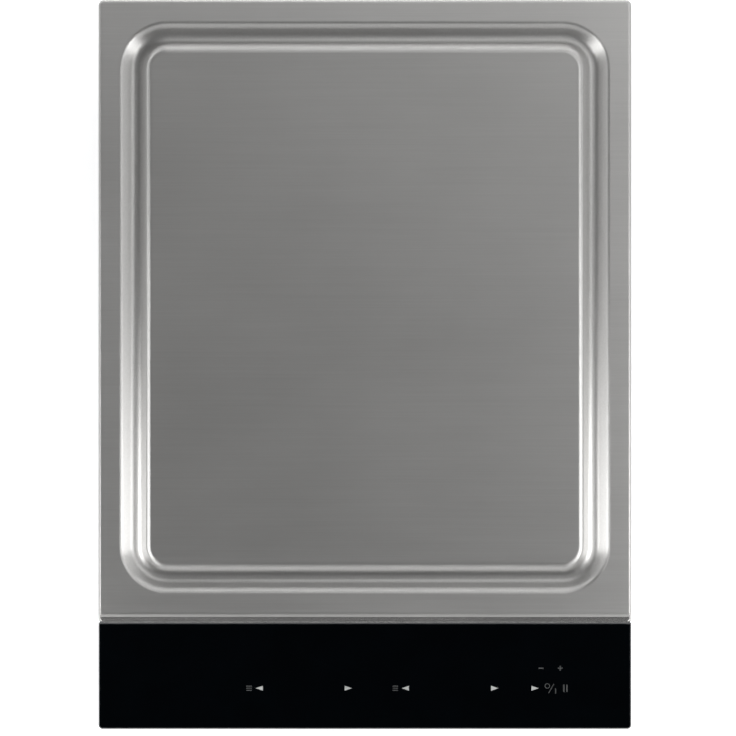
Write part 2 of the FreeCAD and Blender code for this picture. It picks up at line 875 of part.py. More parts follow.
def make_rim():
    """The seal on the worktop, the frame that carries plate and glass, and the rails under the rim."""
    outer = (d.overall_width - d.seal_inset * 2, d.overall_depth - d.seal_inset * 2, d.seal_corner_radius)
    inner = (outer[0] - d.seal_width * 2, outer[1] - d.seal_width * 2, d.seal_corner_radius)
    node(plate("worktop_seal", 0, d.seal_thickness, outer, [inner]), "worktop_seal")
    sheet_outline = (
        d.overall_width - d.frame_inset * 2,
        d.overall_depth - d.frame_inset * 2,
        d.frame_corner_radius,
    )
    clear = d.frame_clear * 2
    opening = [length - clear for length in gutter_outer]
    griddle_hole = (*opening, d.frame_opening_radius, (0, griddle_y))
    panel_hole = (tray_x * 2, panel_depth, d.panel_opening_radius, (0, panel_y))
    spots = flange_screw_spots() + tray_screw_spots()
    holes = [griddle_hole, panel_hole] + [(d.screw_radius + d.screw_clear, spot) for spot in spots]
    node(plate("top_frame", frame_low, d.frame_sheet, sheet_outline, holes), "top_frame")
    outside = side - d.rail_inset
    inside = outside - d.rail_width
    front_rail = rim_front + d.rail_setback
    rear_rail = back - d.rail_inset - d.rail_width
    rails = [
        box("rail_right", (inside, front_rail, frame_top), (outside, back - d.rail_inset, rim_low)),
        box("rail_left", (-outside, front_rail, frame_top), (-inside, back - d.rail_inset, rim_low)),
        box("rail_rear", (-inside, rear_rail, frame_top), (inside, back - d.rail_inset, rim_low)),
        box("rail_front", (-inside, front_rail, frame_top), (inside, front_rail + d.rail_width, rim_low)),
    ]
    node(fuse("support_rails", *rails), "support_rails")


def make_glass():
    """The black glass panel and the glue line it lies on."""
    body = new_body("control_glass")
    sketch = new_sketch(body, "XY", glass_low)
    depth, middle = span(front, glass_back)
    add_rectangle(sketch, d.overall_width, depth, centre=(0, middle))
    pad(body, sketch, d.glass_thickness)
    dress(body, "Fillet", d.glass_corner_radius, lambda e: upright(e) and near(e.BoundBox.YMin, front))
    dress(body, "Chamfer", d.glass_arris, lambda e: level(e, glass_top))
    node(body, "control_glass")
    inset = d.glue_inset * 2
    outer = (d.overall_width - inset, depth - inset, d.glass_corner_radius, (0, middle))
    inner = (outer[0] - d.glue_width * 2, outer[1] - d.glue_width * 2, d.glass_corner_radius, (0, middle))
    node(plate("glass_adhesive", frame_top, d.glue_thickness, outer, [inner]), "glass_adhesive")


def make_layers():
    """The aluminium core, the magnetic base sheet, the insulation mat and the mica under the plate."""
    outline = [length - d.core_inset * 2 for length in gutter_inner]
    outline += [d.core_corner_radius, (0, griddle_y)]
    sensor_holes = [(d.sensor_hole_radius, (0, y)) for _, y in COILS]
    node(plate("heat_spreader_core", core_low, d.core_thickness, outline), "heat_spreader_core")
    node(plate("induction_base_sheet", base_low, d.base_thickness, outline), "induction_base_sheet")
    node(plate("insulation_mat", mat_low, d.mat_thickness, outline, sensor_holes), "insulation_mat")
    width = carrier_half_width * 2 + d.mica_margin * 2
    depth = carrier_half_depth * 2 + d.mica_margin * 2
    sheets = []
    for name, y in COILS:
        hole = (d.sensor_hole_radius, (0, y))
        outline = (width, depth, d.core_corner_radius, (0, y))
        sheets.append(plate("mica_" + name, mica_low, d.mica_thickness, outline, [hole]))
    node(group("mica_sheets", *sheets), "mica_sheets")


def winding_line(pitch, turns, outer_radius, straight, lead):
    """A flat racetrack spiral: half circles about two centres, joined by straight runs."""
    half = straight / 2
    shift = pitch / 4
    first = outer_radius - (2 * turns - 1) * pitch / 2
    edges = []
    here = Vector(lead, shift - first, 0)
    for turn in range(2 * turns):
        radius = first + turn * pitch / 2
        sign = 1 if turn % 2 == 0 else -1
        centre = Vector(sign * half, sign * shift, 0)
        begin = centre - Vector(0, sign * radius, 0)
        middle = centre + Vector(sign * radius, 0, 0)
        end = centre + Vector(0, sign * radius, 0)
        edges.append(Part.makeLine(here, begin))
        edges.append(Part.Arc(begin, middle, end).toShape())
        here = end
    edges.append(Part.makeLine(here, Vector(half + lead_run, here.y, 0)))
    return edges


lead_radius = d.coil_wire / 2
lead_x = d.ferrite_spread / 2
lead_start = lead_x + d.lead_bend + d.coil_wire
lead_run = d.coil_wire.value * 2
inner_lead_y = d.coil_pitch / 4 - (d.coil_outer_radius - (d.coil_turns * 2 - 1) * d.coil_pitch / 2)
outer_lead_y = -(d.coil_pitch / 4) - d.coil_outer_radius
outer_lead_x = carrier_half_width - carrier_half_depth + d.outer_lead_out


def ferrite_spots():
    """Lower corner and turn of each ferrite bar under one coil, seen from the coil's middle."""
    half = d.ferrite_width / 2
    start = d.ferrite_start
    spots = []
    for step in (-2, -1, 0, 1, 2):
        x = d.ferrite_spread * step
        spots += [(x - half, start, 0, "across"), (x - half, -start - d.ferrite_length, 0, "across")]
    fan = d.ferrite_fan_angle.value
    for angle in (-fan, 0, fan):
        for sign, end in ((1, 0), (-1, HALF_TURN)):
            turn = math.radians(angle + end)
            along, sideways = math.cos(turn), math.sin(turn)
            x = d.coil_straight / 2 * sign + start * along + half * sideways
            y = start * sideways - half * along
            spots.append((x, y, angle + end, "along"))
    return spots


def make_coils():
    """Two flat coils on their carriers, with ferrite bars, support pads and the shield plate below."""
    line = winding_line(d.coil_pitch.value, int(d.coil_turns.value), d.coil_outer_radius.value,
                        d.coil_straight.value, lead_start.value)
    shape = tube(line, d.coil_wire.value / 2)
    gap = least_gap(line, d.coil_wire.value / 2, d.coil_straight.value)
    print("least gap between coil loops:", round(gap, 3))
    bars, pads = [], []
    for name, y in COILS:
        winding = feature("winding_" + name, shape)
        place(winding, (0, y, wire_middle))
        node(winding, "coil_winding_" + name)
        make_carrier(name, y)
        for x, dy, angle, way in ferrite_spots():
            size = (d.ferrite_length, d.ferrite_width)
            if way == "across":
                size = (d.ferrite_width, d.ferrite_length)
            low = (x, y + dy, carrier_low - d.ferrite_thickness)
            bar = box("ferrite_" + name, low, (low[0] + size[0], low[1] + size[1], carrier_low))
            bar.Placement = Placement(bar.Placement.Base, Rotation(Vector(0, 0, 1), angle))
            bars.append(bar)
        for x, dy in mirrored((d.pad_side, d.pad_reach), (d.pad_side, -d.pad_reach)):
            pads.append(cylinder("pad_" + name, d.pad_radius, (x, y + dy, shield_top), d.pad_height))
    node(group("ferrite_bars", *bars), "ferrite_bars")
    node(group("coil_support_pads", *pads), "coil_support_pads")


def make_carrier(name, y):
    """The insulating plate a coil lies on, with the spring cup of the sensor in its middle."""
    body = new_body("carrier_" + name)
    sketch = new_sketch(body, "XY", carrier_low)
    size = (carrier_half_width * 2, carrier_half_depth * 2)
    add_rectangle(sketch, *size, carrier_half_depth - d.layer_gap, (0, y))
    pass_width = (lead_radius + d.lead_clear) * 2
    pass_middle = (lead_x + d.lead_bend / 2, y + inner_lead_y)
    add_rectangle(sketch, pass_width + d.lead_bend, pass_width, lead_radius, pass_middle)
    pad(body, sketch, d.carrier_thickness)
    cup = new_sketch(body, "XY", cup_low)
    add_circle(cup, d.cup_radius, (0, y))
    pad(body, cup, d.cup_depth)
    bore = new_sketch(body, "XY", carrier_top)
    add_circle(bore, d.cup_bore_radius, (0, y))
    pocket(body, bore, carrier_top - cup_seat)
    guide = new_sketch(body, "XY", cup_seat)
    add_circle(guide, d.sensor_stem_radius + d.sensor_play, (0, y))
    pocket(body, guide, d.cup_floor)
    node(body, "coil_carrier_" + name)


shield_x = wall_x - d.shield_side_gap
shield_y = coil_reach + carrier_half_depth + d.shield_margin
post_x = shield_x - d.post_inset


def post_spots():
    return mirrored((post_x, griddle_y - shield_y + d.post_inset), (post_x, wall_y - d.post_back))


def lead_spots():
    """Where the coil leads pass down through the shield: two from each coil."""
    ends = ((lead_x, inner_lead_y), (outer_lead_x, outer_lead_y))
    return [(x, y + dy) for _, y in COILS for x, dy in ends]


def make_shield():
    """The sheet that shades the electronics from the coils, on four posts."""
    holes = [(d.sensor_hole_radius, (0, y)) for _, y in COILS]
    holes += [(lead_radius + d.lead_clear, spot) for spot in lead_spots()]
    holes += [(d.screw_radius + d.screw_clear, spot) for spot in post_spots()]
    outline = (shield_x * 2, shield_y * 2, d.core_corner_radius, (0, griddle_y))
    node(plate("shield_plate", shield_low, d.shield_thickness, outline, holes), "shield_plate")
    posts, screws = [], []
    for x, y in post_spots():
        posts.append(drilled_post("post", x, y, floor_top, shield_low))
        screws.append(screw_down("post_screw", x, y, shield_top, shield_low - d.screw_depth))
    for x, y in board_spots():
        screws.append(screw_down("board_screw", x, y, board_top, board_low - d.screw_depth))
    node(group("shield_posts", *posts), "shield_posts")
    node(group("chassis_screws", *screws), "chassis_screws")


def drilled_post(name, x, y, low, high):
    """A round post with a hole for a screw in its upper end."""
    bar = cylinder(name + "_bar", d.standoff_radius, (x, y, low), high - low)
    depth = d.screw_depth + d.screw_clear
    hole = cylinder(name + "_hole", d.screw_radius + d.screw_clear, (x, y, high - depth), depth)
    return cut(name, bar, hole)


def make_sensors():
    """Two temperature sensors on springs, pressed towards the base sheet."""
    top = base_low - d.sensor_gap
    head_low = top - d.sensor_head_height
    clip_top = cup_low - d.sensor_gap
    clip_low = clip_top - d.sensor_clip_height
    wire = d.spring_wire.value / 2
    rise = value_of(head_low - cup_seat) - d.spring_wire.value - 2 * d.spring_seat_gap.value
    line = spring_line(d.spring_radius.value, rise, d.spring_turns.value, d.spring_wire.value)
    shape = tube(line, wire)
    print("least gap between spring loops:", round(least_gap(line, wire, d.spring_radius.value * 4), 3))
    for name, y in COILS:
        parts = [
            cylinder("sensor_head_" + name, d.sensor_head_radius, (0, y, head_low), d.sensor_head_height),
            cylinder("sensor_stem_" + name, d.sensor_stem_radius, (0, y, clip_low), head_low - clip_low),
            cylinder("sensor_clip_" + name, d.sensor_clip_radius, (0, y, clip_low), d.sensor_clip_height),
        ]
        node(fuse("sensor_" + name, *parts), "sensor_" + name)
        spring = feature("spring_" + name, shape)
        place(spring, (0, y, cup_seat + d.spring_wire / 2 + d.spring_seat_gap))
        node(spring, "sensor_spring_" + name)


def spring_line(radius, rise, turns, run):
    """A helix of quarter turns, each drawn as two arcs, with a short straight at both ends."""
    quarters = int(turns * 4)
    climb = rise / quarters
    slope = rise / turns / (2 * math.pi)

    def spot(quarter):
        angle = quarter * math.pi / 2
        return Vector(radius * math.cos(angle), radius * math.sin(angle), quarter * climb)

    def heading(quarter):
        angle = quarter * math.pi / 2
        return Vector(-radius * math.sin(angle), radius * math.cos(angle), slope).normalize()

    edges = [Part.makeLine(spot(0) - heading(0) * run, spot(0))]
    for quarter in range(quarters):
        edges += biarc(spot(quarter), heading(quarter), spot(quarter + 1), heading(quarter + 1))
    edges.append(Part.makeLine(spot(quarters), spot(quarters) + heading(quarters) * run))
    return edges


notch_left = wall_x - d.terminal_width
notch_front = wall_y - d.terminal_depth
notch_top = casing_low + d.terminal_height
inner_x = wall_x - d.casing_sheet
inner_y = wall_y - d.casing_sheet
supply_z = board_top + d.socket_height / 2
fan_x = d.fan_side_gap - wall_x
fan_y = wall_y - d.fan_rear_gap
board_x = wall_x - d.board_side_gap
board_front = d.board_front_gap - wall_y
board_back = fan_y - d.fan_side / 2 - d.board_rear_gap
capacitor_x = outer_lead_x - d.socket_side / 2 - d.capacitor_gap - d.capacitor_length / 2
sink_right = fan_x + d.sink_width / 2
sink_left = fan_x - d.sink_width / 2
ribbon_y = panel_opening_back - d.ribbon_setback


def supply_spots():
    """Across the width: the three supply leads from the terminal block to the board."""
    return [notch_left + d.supply_offset + d.supply_pitch * step for step in range(3)]


def make_casing():
    """The open-topped sheet steel box below the worktop, with vents, a terminal notch and a flange."""
    body = new_body("lower_casing")
    block = new_sketch(body, "XY", casing_low)
    add_rectangle(block, wall_x * 2, wall_y * 2, d.casing_corner_radius)
    pad(body, block, frame_low - casing_low)
    upper = new_sketch(body, "XY", frame_low)
    add_rectangle(upper, inner_x * 2, inner_y * 2, d.casing_corner_radius - d.casing_sheet)
    pocket(body, upper, frame_low - notch_top - d.casing_sheet)
    lower = new_sketch(body, "XY", notch_top + d.casing_sheet)
    corner = (notch_left - d.casing_sheet, notch_front - d.casing_sheet)
    outline = [
        (-inner_x, -inner_y),
        (inner_x, -inner_y),
        (inner_x, corner[1]),
        corner,
        (corner[0], inner_y),
        (-inner_x, inner_y),
    ]
    add_polygon(lower, outline)
    pocket(body, lower, notch_top + d.casing_sheet - floor_top)
    notch = new_sketch(body, "XY", notch_top)
    wide, mid_x = span(notch_left, wall_x + d.casing_sheet)
    deep, mid_y = span(notch_front, wall_y + d.casing_sheet)
    add_rectangle(notch, wide, deep, centre=(mid_x, mid_y))
    pocket(body, notch, d.terminal_height)
    inlet = new_sketch(body, "XY", floor_top)
    add_circle(inlet, d.fan_bore_radius, (fan_x, fan_y))
    pocket(body, inlet, d.casing_sheet)
    vent_row(body, new_sketch(body, "XZ", wall_y), 0, d.casing_sheet)
    vent_row(body, new_sketch(body, "YZ"), -d.vent_shift, wall_x * 2, symmetric=True)
    supply = new_sketch(body, "XZ", -notch_front)
    for x in supply_spots():
        add_circle(supply, d.supply_radius + d.lead_clear, (x, supply_z))
    pocket(body, supply, d.casing_sheet, upwards=True)
    node(body, "lower_casing")
    reach = d.flange_width * 2
    outer = (wall_x * 2 + reach, wall_y * 2 + reach, d.casing_corner_radius)
    inner = (wall_x * 2, wall_y * 2, d.casing_corner_radius)
    holes = [(d.screw_radius + d.screw_clear, spot) for spot in flange_screw_spots()]
    flange = plate("casing_flange", frame_low - d.casing_sheet, d.casing_sheet, outer, [inner] + holes)
    node(flange, "casing_flange")


def make_frame_screws():
    """Screws driven up into the frame, through the casing flange and the tray of the touch board."""
    tip = frame_top - d.screw_clear
    flange_seat = frame_low - d.casing_sheet
    tray_seat = frame_low - d.tray_sheet
    screws = [screw_up("flange_screw", x, y, flange_seat, tip) for x, y in flange_screw_spots()]
    screws += [screw_up("tray_screw", x, y, tray_seat, tip) for x, y in tray_screw_spots()]
    node(group("frame_screws", *screws), "frame_screws")


def vent_row(body, sketch, middle, depth, symmetric=False):
    """A row of upright vent slots with round ends, cut through a casing wall."""
    run = d.vent_pitch * (d.vent_count - 1)
    centre = (size_of(middle) - run / 2, -d.vent_drop - d.vent_length / 2)
    add_rectangle(sketch, d.vent_width, d.vent_length, d.vent_width * d.slot_round_share, centre)
    first = pocket(body, sketch, depth, symmetric)
    row = body.newObject("PartDesign::LinearPattern", "vents")
    row.Originals = [first]
    row.Direction = (sketch, ["H_Axis"])
    bind(row, "Length", run)
    bind(row, "Occurrences", d.vent_count)
    body.Tip = row
    doc.recompute()


guard_top = casing_low + d.guard_thickness
fan_high = guard_top + d.fan_depth
motor_base_low = fan_high - d.motor_base_height
hub_low = guard_top + d.hub_lift
STRUTS = 3
POLES = 4
GUARD_SPOKES = 6


def make_fan():
    """The axial fan on the casing floor: guard, frame, motor, shaft and rotor, and the duct over it."""
    x, y = fan_x, fan_y
    make_guard(x, y)
    ring = plate("fan_ring", guard_top, d.fan_depth, (d.fan_side, d.fan_side, d.fan_corner_radius, (x, y)),
                 [(d.fan_bore_radius, (x, y))])
    parts = [ring, cylinder("motor_base", d.motor_base_radius, (x, y, motor_base_low), d.motor_base_height)]
    reach = d.fan_side / 2
    for angle in evenly(STRUTS, start=HALF_TURN):
        parts.append(spoke("strut", angle, d.strut_width, reach, motor_base_low, fan_high))
    bore = cylinder("fan_bore", d.shaft_radius + d.shaft_play, (x, y, motor_base_low), d.motor_base_height)
    offset = d.fan_hole_offset
    holes = [cylinder("fan_hole", d.screw_radius + d.screw_clear, (x + dx, y + dy, guard_top), d.fan_depth)
             for dx, dy in mirrored((offset, offset), (offset, -offset))]
    node(cut("fan_frame", fuse("fan_frame_solid", *parts), bore, *holes), "fan_frame")
    stator_radius = d.hub_radius - d.hub_wall - d.motor_gap
    stator_low = motor_base_low - d.motor_height
    stator = cylinder("stator", stator_radius, (x, y, stator_low), d.motor_height)
    hollow = [cylinder("stator_bore", d.shaft_radius + d.shaft_play, (x, y, stator_low), d.motor_height)]
    for angle in evenly(POLES):
        hollow.append(spoke("pole_gap", angle, d.strut_width, stator_radius, stator_low, motor_base_low,
                            stator_radius / 2))
    node(cut("fan_motor", stator, *hollow), "fan_motor")
    shaft = cylinder("fan_shaft", d.shaft_radius, (x, y, hub_low), fan_high - hub_low)
    node(shaft, "fan_shaft")
    make_rotor(x, y)
    make_duct(x, y)


def evenly(count, start=0):
    """Angles in even steps round a full turn, in degrees."""
    return [start + FULL_TURN * step / count for step in range(count)]


def spoke(name, angle, width, reach, low, high, start=0):
    """A flat bar that runs outwards from the fan's axis at an angle."""
    turn = math.radians(angle)
    along, sideways = math.cos(turn), math.sin(turn)
    bar = doc.addObject("Part::Box", name)
    bar.Placement = Placement(Vector(), Rotation(Vector(0, 0, 1), angle))
    bind(bar, "Length", size_of(reach) - start)
    bind(bar, "Width", width)
    bind(bar, "Height", high - low)
    start = size_of(start)
    half = width / 2
    x = fan_x + start * along + half * sideways
    y = fan_y + start * sideways - half * along
    place(bar, (x, y, low))
    return bar


def make_guard(x, y):
    """The round grille in the casing floor, clamped under the fan."""
    parts = []
    outer = d.fan_bore_radius - d.screw_clear
    step = outer / (d.guard_rings + 1)
    for count in range(1, int(d.guard_rings.value) + 2):
        radius = step * count
        parts.append(ring_bar("guard_ring", x, y, radius, radius - d.guard_bar, casing_low, guard_top))
    lap = d.fan_bore_radius + d.guard_lap
    parts.append(ring_bar("guard_flange", x, y, lap, outer - d.guard_bar, floor_top, guard_top))
    for angle in evenly(GUARD_SPOKES):
        parts.append(spoke("guard_spoke", angle, d.guard_bar, outer - d.guard_bar / 2,
                           casing_low, guard_top, step - d.guard_bar))
    node(fuse("fan_guard", *parts), "fan_guard")


def ring_bar(name, x, y, outer, inner, low, high):
    """A flat ring."""
    disc = cylinder(name + "_disc", outer, (x, y, low), high - low)
    return cut(name, disc, cylinder(name + "_hole", inner, (x, y, low), high - low))


def make_rotor(x, y):
    """The fan wheel: a cup-shaped hub with slanted blades."""
    body = new_body("fan_rotor")
    place(body, (x, y, hub_low))
    hub = new_sketch(body, "XY")
    add_circle(hub, d.hub_radius, (0, 0))
    add_circle(hub, d.shaft_radius, (0, 0))
    pad(body, hub, d.hub_height)
    cup = new_sketch(body, "XY", d.hub_height)
    add_circle(cup, d.hub_radius - d.hub_wall, (0, 0))
    pocket(body, cup, d.hub_height - d.hub_floor)
    lean = cosine(d.blade_pitch_angle)
    climb = sine(d.blade_pitch_angle)
    half = d.blade_chord / 2
    skin = d.blade_thickness / 2
    corners = [(half, skin), (-half, skin), (-half, -skin), (half, -skin)]
    middle = d.hub_height / 2
    outline = [(a * lean - b * climb, middle + a * climb + b * lean) for a, b in corners]
    root_x = d.hub_radius - d.hub_wall / 2
    tip = d.fan_bore_radius - d.fan_tip_gap
    sweep = half * lean + skin
    tip_x = root(tip * tip - sweep * sweep)
    blade = new_sketch(body, "YZ", root_x)
    add_polygon(blade, outline)
    first = pad(body, blade, tip_x - root_x)
    pattern = body.newObject("PartDesign::PolarPattern", "blades")
    pattern.Originals = [first]
    pattern.Axis = (hub, ["N_Axis"])
    bind(pattern, "Occurrences", d.blade_count)
    body.Tip = pattern
    doc.recompute()
    node(body, "fan_rotor")


def make_duct(x, y):
    """The hood that turns the air from the fan forwards to the heat sink."""
    half = d.fan_side / 2 + d.duct_gap
    left, right, rear = x - half, x + half, y + half
    duct_front = y - d.fan_side / 2 - d.duct_reach
    wall = d.duct_wall
    hood = box("hood", (left - wall, duct_front, floor_top), (right + wall, rear + wall, -d.duct_top))
    hollow = box("hood_hollow", (left, duct_front, floor_top), (right, rear, -d.duct_top - d.duct_wall))
    node(cut("air_duct", hood, hollow), "air_duct")


def board_spots():
    """Standoffs under the power board."""
    x = board_x - d.standoff_inset
    low = board_front + d.standoff_inset
    high = board_back - d.standoff_inset
    return mirrored((x, low), (x, (low + high) / 2), (x, high))


def make_board():
    """The power board on its standoffs, with the parts soldered to it."""
    depth, middle = span(board_front, board_back)
    holes = [(d.screw_radius + d.screw_clear, spot) for spot in board_spots()]
    outline = (board_x * 2, depth, d.standoff_radius, (0, middle))
    node(plate("power_board", board_low, d.board_thickness, outline, holes), "power_board")
    posts = [drilled_post("standoff", x, y, floor_top, board_low) for x, y in board_spots()]
    node(group("board_standoffs", *posts), "board_standoffs")
    make_heat_sink()
    capacitors = []
    for step in range(int(d.capacitor_count.value)):
        y = board_front + d.capacitor_start + d.capacitor_pitch * step
        outline = (d.capacitor_length, d.capacitor_width, d.capacitor_edge_radius, (capacitor_x, y))
        capacitors.append(plate("capacitor", board_top, d.capacitor_height, outline))
    node(group("film_capacitors", *capacitors), "film_capacitors")
    choke = new_body("filter_choke")
    sketch = new_sketch(choke, "XY", board_top)
    add_circle(sketch, d.choke_radius, (board_x - d.choke_side, board_back - d.choke_rear))
    pad(choke, sketch, d.choke_height)
    dress(choke, "Chamfer", d.choke_edge, lambda e: level(e, board_top + d.choke_height))
    node(choke, "filter_choke")


def make_heat_sink():
    """The finned aluminium sink in the air stream, with the power transistors on its flat side."""
    rear = board_back
    front_end = rear - d.sink_length
    top = board_top + d.sink_height
    face = sink_right
    parts = [box("sink_base", (face - d.sink_base, front_end, board_top), (face, rear, top))]
    pitch = (d.sink_height - d.sink_fin) / (d.sink_fins - 1)
    for step in range(int(d.sink_fins.value)):
        low = board_top + pitch * step
        corner = (face - d.sink_base, rear, low + d.sink_fin)
        parts.append(box("sink_fin", (sink_left, front_end, low), corner))
    node(fuse("heat_sink", *parts), "heat_sink")
    packages = []
    middle = (front_end + rear) / 2
    for step in (-1.5, -0.5, 0.5, 1.5):
        y = middle + d.transistor_pitch * step
        half = d.transistor_width / 2
        low = board_top + d.transistor_lift
        corner = (face + d.transistor_thickness, y + half, low + d.transistor_height)
        pieces = [box("package", (face, y - half, low), corner)]
        leg_x = face + d.transistor_thickness / 2
        for leg in (-1, 0, 1):
            leg_y = y + half / 2 * leg
            thin = d.transistor_leg / 2
            corner = (leg_x + thin, leg_y + thin, low)
            pieces.append(box("leg", (leg_x - thin, leg_y - thin, board_top), corner))
        packages.append(fuse("transistor", *pieces))
    node(group("power_transistors", *packages), "power_transistors")


def make_leads():
    """Coil leads down to the board, supply leads from the terminals, sockets and the ribbon cable."""
    leads, sockets = [], []
    socket_top = board_top + d.socket_height
    half = d.socket_side / 2
    front_y = COILS[0][1]
    rear_y = COILS[1][1]
    turn_z = shield_low - d.lead_bend * 2
    landing = board_back - d.socket_side * 2
    routes = []
    for y in (front_y, rear_y):
        at = y + outer_lead_y
        start = (d.coil_straight / 2 + lead_run, at, wire_middle)
        routes.append([start, (outer_lead_x, at, wire_middle), (outer_lead_x, at, socket_top)])
    at = front_y + inner_lead_y
    routes.append([(lead_start, at, wire_middle), (lead_x, at, wire_middle), (lead_x, at, socket_top)])
    at = rear_y + inner_lead_y
    routes.append([
        (lead_start, at, wire_middle),
        (lead_x, at, wire_middle),
        (lead_x, at, turn_z),
        (lead_x, landing, turn_z),
        (lead_x, landing, socket_top),
    ])
    for route in routes:
        x, y, _ = route[-1]
        leads.append(feature("lead", tube(bent_line(route, d.lead_bend.value), lead_radius.value)))
        sockets.append(box("socket", (x - half, y - half, board_top), (x + half, y + half, socket_top)))
    block_front = notch_front + d.terminal_wall + d.block_inset
    supply_end = board_back - d.socket_side
    for x in supply_spots():
        start = (x, supply_end, supply_z)
        leads.append(cylinder("supply_lead", d.supply_radius, start, block_front - supply_end, "Y"))
    first, last = supply_spots()[0], supply_spots()[-1]
    corner = (first - half, supply_end - d.socket_side, board_top)
    sockets.append(box("supply_socket", corner, (last + half, supply_end, socket_top)))
    ribbon = d.ribbon_width / 2
    thin = d.ribbon_thickness / 2
    corner = (-ribbon - thin, ribbon_y - half, board_top)
    sockets.append(box("ribbon_socket", corner, (ribbon + thin, ribbon_y + half, socket_top)))
    node(group("power_leads", *leads), "power_leads")
    node(group("board_sockets", *sockets), "board_sockets")
    corner = (-ribbon, ribbon_y - thin, socket_top)
    node(box("ribbon_cable", corner, (ribbon, ribbon_y + thin, touch_board_low)), "ribbon_cable")


touch_board_top = glass_low - d.touch_board_drop
touch_board_low = touch_board_top - d.board_thickness
tray_low = frame_low - d.tray_depth
icon_row = front + d.icon_row_up
upper_row = icon_row + d.icon_row_pitch


def touch_spots():
    """Middle of each touch field, set in from the right edge of the glass."""
    zones = (d.left_less_in, d.left_more_in, d.right_less_in, d.right_more_in)
    keys = (d.next_in, d.power_in, d.pause_in)
    lower = [(side - inset, icon_row) for inset in zones + keys]
    return lower + [(side - inset, upper_row) for inset in (d.minus_in, d.plus_in)]


def make_touch_panel():
    """The touch board in its tray under the glass, with the sensing pads and two display strips."""
    length = tray_x * 2 - d.tray_gap * 2 - d.tray_sheet * 2
    depth = tray_half * 2 - d.tray_gap - d.tray_sheet * 2
    outline = (length, depth, d.panel_opening_radius, (0, panel_y))
    node(plate("touch_board", touch_board_low, d.board_thickness, outline), "touch_board")
    pads = [cylinder("touch_pad", d.touch_pad_radius, (x, y, touch_board_top), d.touch_board_drop)
            for x, y in touch_spots()]
    node(group("touch_pads", *pads), "touch_pads")
    spots = touch_spots()
    strips = []
    for left, right in ((spots[0], spots[1]), (spots[2], spots[3])):
        middle = (left[0] + right[0]) / 2
        outline = (d.display_length, d.display_depth, d.glass_arris, (middle, icon_row))
        strips.append(plate("display", touch_board_top, d.display_height, outline))
    node(group("display_modules", *strips), "display_modules")
    make_tray(length, depth)


def make_tray(length, depth):
    """The plastic tray screwed up under the frame."""
    body = new_body("touch_board_tray")
    block = new_sketch(body, "XY", tray_low)
    add_rectangle(block, tray_x * 2, tray_half * 2, d.panel_opening_radius, (0, panel_y))
    pad(body, block, d.tray_depth)
    flange = new_sketch(body, "XY", frame_low - d.tray_sheet)
    add_rectangle(flange, (tray_x + d.tray_flange) * 2, tray_half * 2, d.panel_opening_radius, (0, panel_y))
    for spot in tray_screw_spots():
        add_circle(flange, d.screw_radius + d.screw_clear, spot)
    pad(body, flange, d.tray_sheet)
    hollow = new_sketch(body, "XY", frame_low)
    inside = (tray_x * 2 - d.tray_sheet * 2, tray_half * 2 - d.tray_sheet * 2)
    add_rectangle(hollow, *inside, d.panel_opening_radius - d.tray_sheet, (0, panel_y))
    pocket(body, hollow, d.tray_depth - d.tray_sheet)
    ledge = new_sketch(body, "XY", tray_low + d.tray_sheet)
    for x, y in mirrored((length / 2 - d.standoff_radius, panel_y)):
        add_rectangle(ledge, d.standoff_radius * 2, depth, d.panel_opening_radius, (x, y))
    pad(body, ledge, touch_board_low - tray_low - d.tray_sheet)
    slot = new_sketch(body, "XY", tray_low + d.tray_sheet)
    gap = d.lead_clear * 2
    add_rectangle(slot, d.ribbon_width + gap, d.ribbon_thickness + gap, centre=(0, ribbon_y))
    pocket(body, slot, d.tray_sheet)
    node(body, "touch_board_tray")


box_right = wall_x
box_rear = wall_y - d.terminal_setback
hinge_y = box_rear + d.hinge_radius + d.hinge_gap
hinge_z = notch_top - d.hinge_radius - d.hinge_gap
lid_low = casing_low + d.hinge_radius
lug_left = notch_left + d.hinge_radius
lug_right = box_right - d.hinge_radius


def make_terminals():
    """The terminal box in the rear corner: shell, block, screws, cable grommet and hinged lid."""
    wall = d.terminal_wall
    shell = box("terminal_shell", (notch_left, notch_front, casing_low), (box_right, box_rear, notch_top))
    lugs = []
    for left in (lug_left, lug_right - d.lug_width):
        lugs.append(cylinder("lug_round", d.hinge_radius, (left, hinge_y, hinge_z), d.lug_width, "X"))
        corner = (left, box_rear - wall, hinge_z - d.hinge_radius)
        lugs.append(box("lug_arm", corner, (left + d.lug_width, hinge_y, hinge_z + d.hinge_radius)))
    corner = (notch_left + wall, notch_front + wall, casing_low + wall)
    hollow = box("terminal_hollow", corner, (box_right - wall, box_rear, notch_top - wall))
    bore_radius = d.hinge_pin_radius + d.hinge_play
    bores = [cylinder("lug_bore", bore_radius, (left, hinge_y, hinge_z), d.lug_width, "X")
             for left in (lug_left, lug_right - d.lug_width)]
    grommet_x = box_right - wall - d.grommet_offset
    grommet_y = (notch_front + box_rear) / 2
    inlet = (grommet_x, grommet_y, casing_low)
    entry = cylinder("cable_entry", d.grommet_radius + d.screw_clear, inlet, wall)
    passes = [cylinder("supply_pass", d.supply_radius + d.lead_clear, (x, notch_front, supply_z), wall, "Y")
              for x in supply_spots()]
    solid = fuse("terminal_solid", cut("terminal_walls", shell, hollow), *lugs)
    node(cut("terminal_box", solid, entry, *bores, *passes), "terminal_box")
    body = cylinder("grommet_body", d.grommet_radius, inlet, wall)
    seat = (grommet_x, grommet_y, casing_low + wall)
    collar = cylinder("grommet_rim", d.grommet_radius + d.grommet_collar, seat, d.grommet_collar)
    bore = cylinder("grommet_bore", d.grommet_bore_radius, inlet, wall + d.grommet_collar)
    node(cut("cable_grommet", fuse("grommet_solid", body, collar), bore), "cable_grommet")
    make_block()
    make_lid()


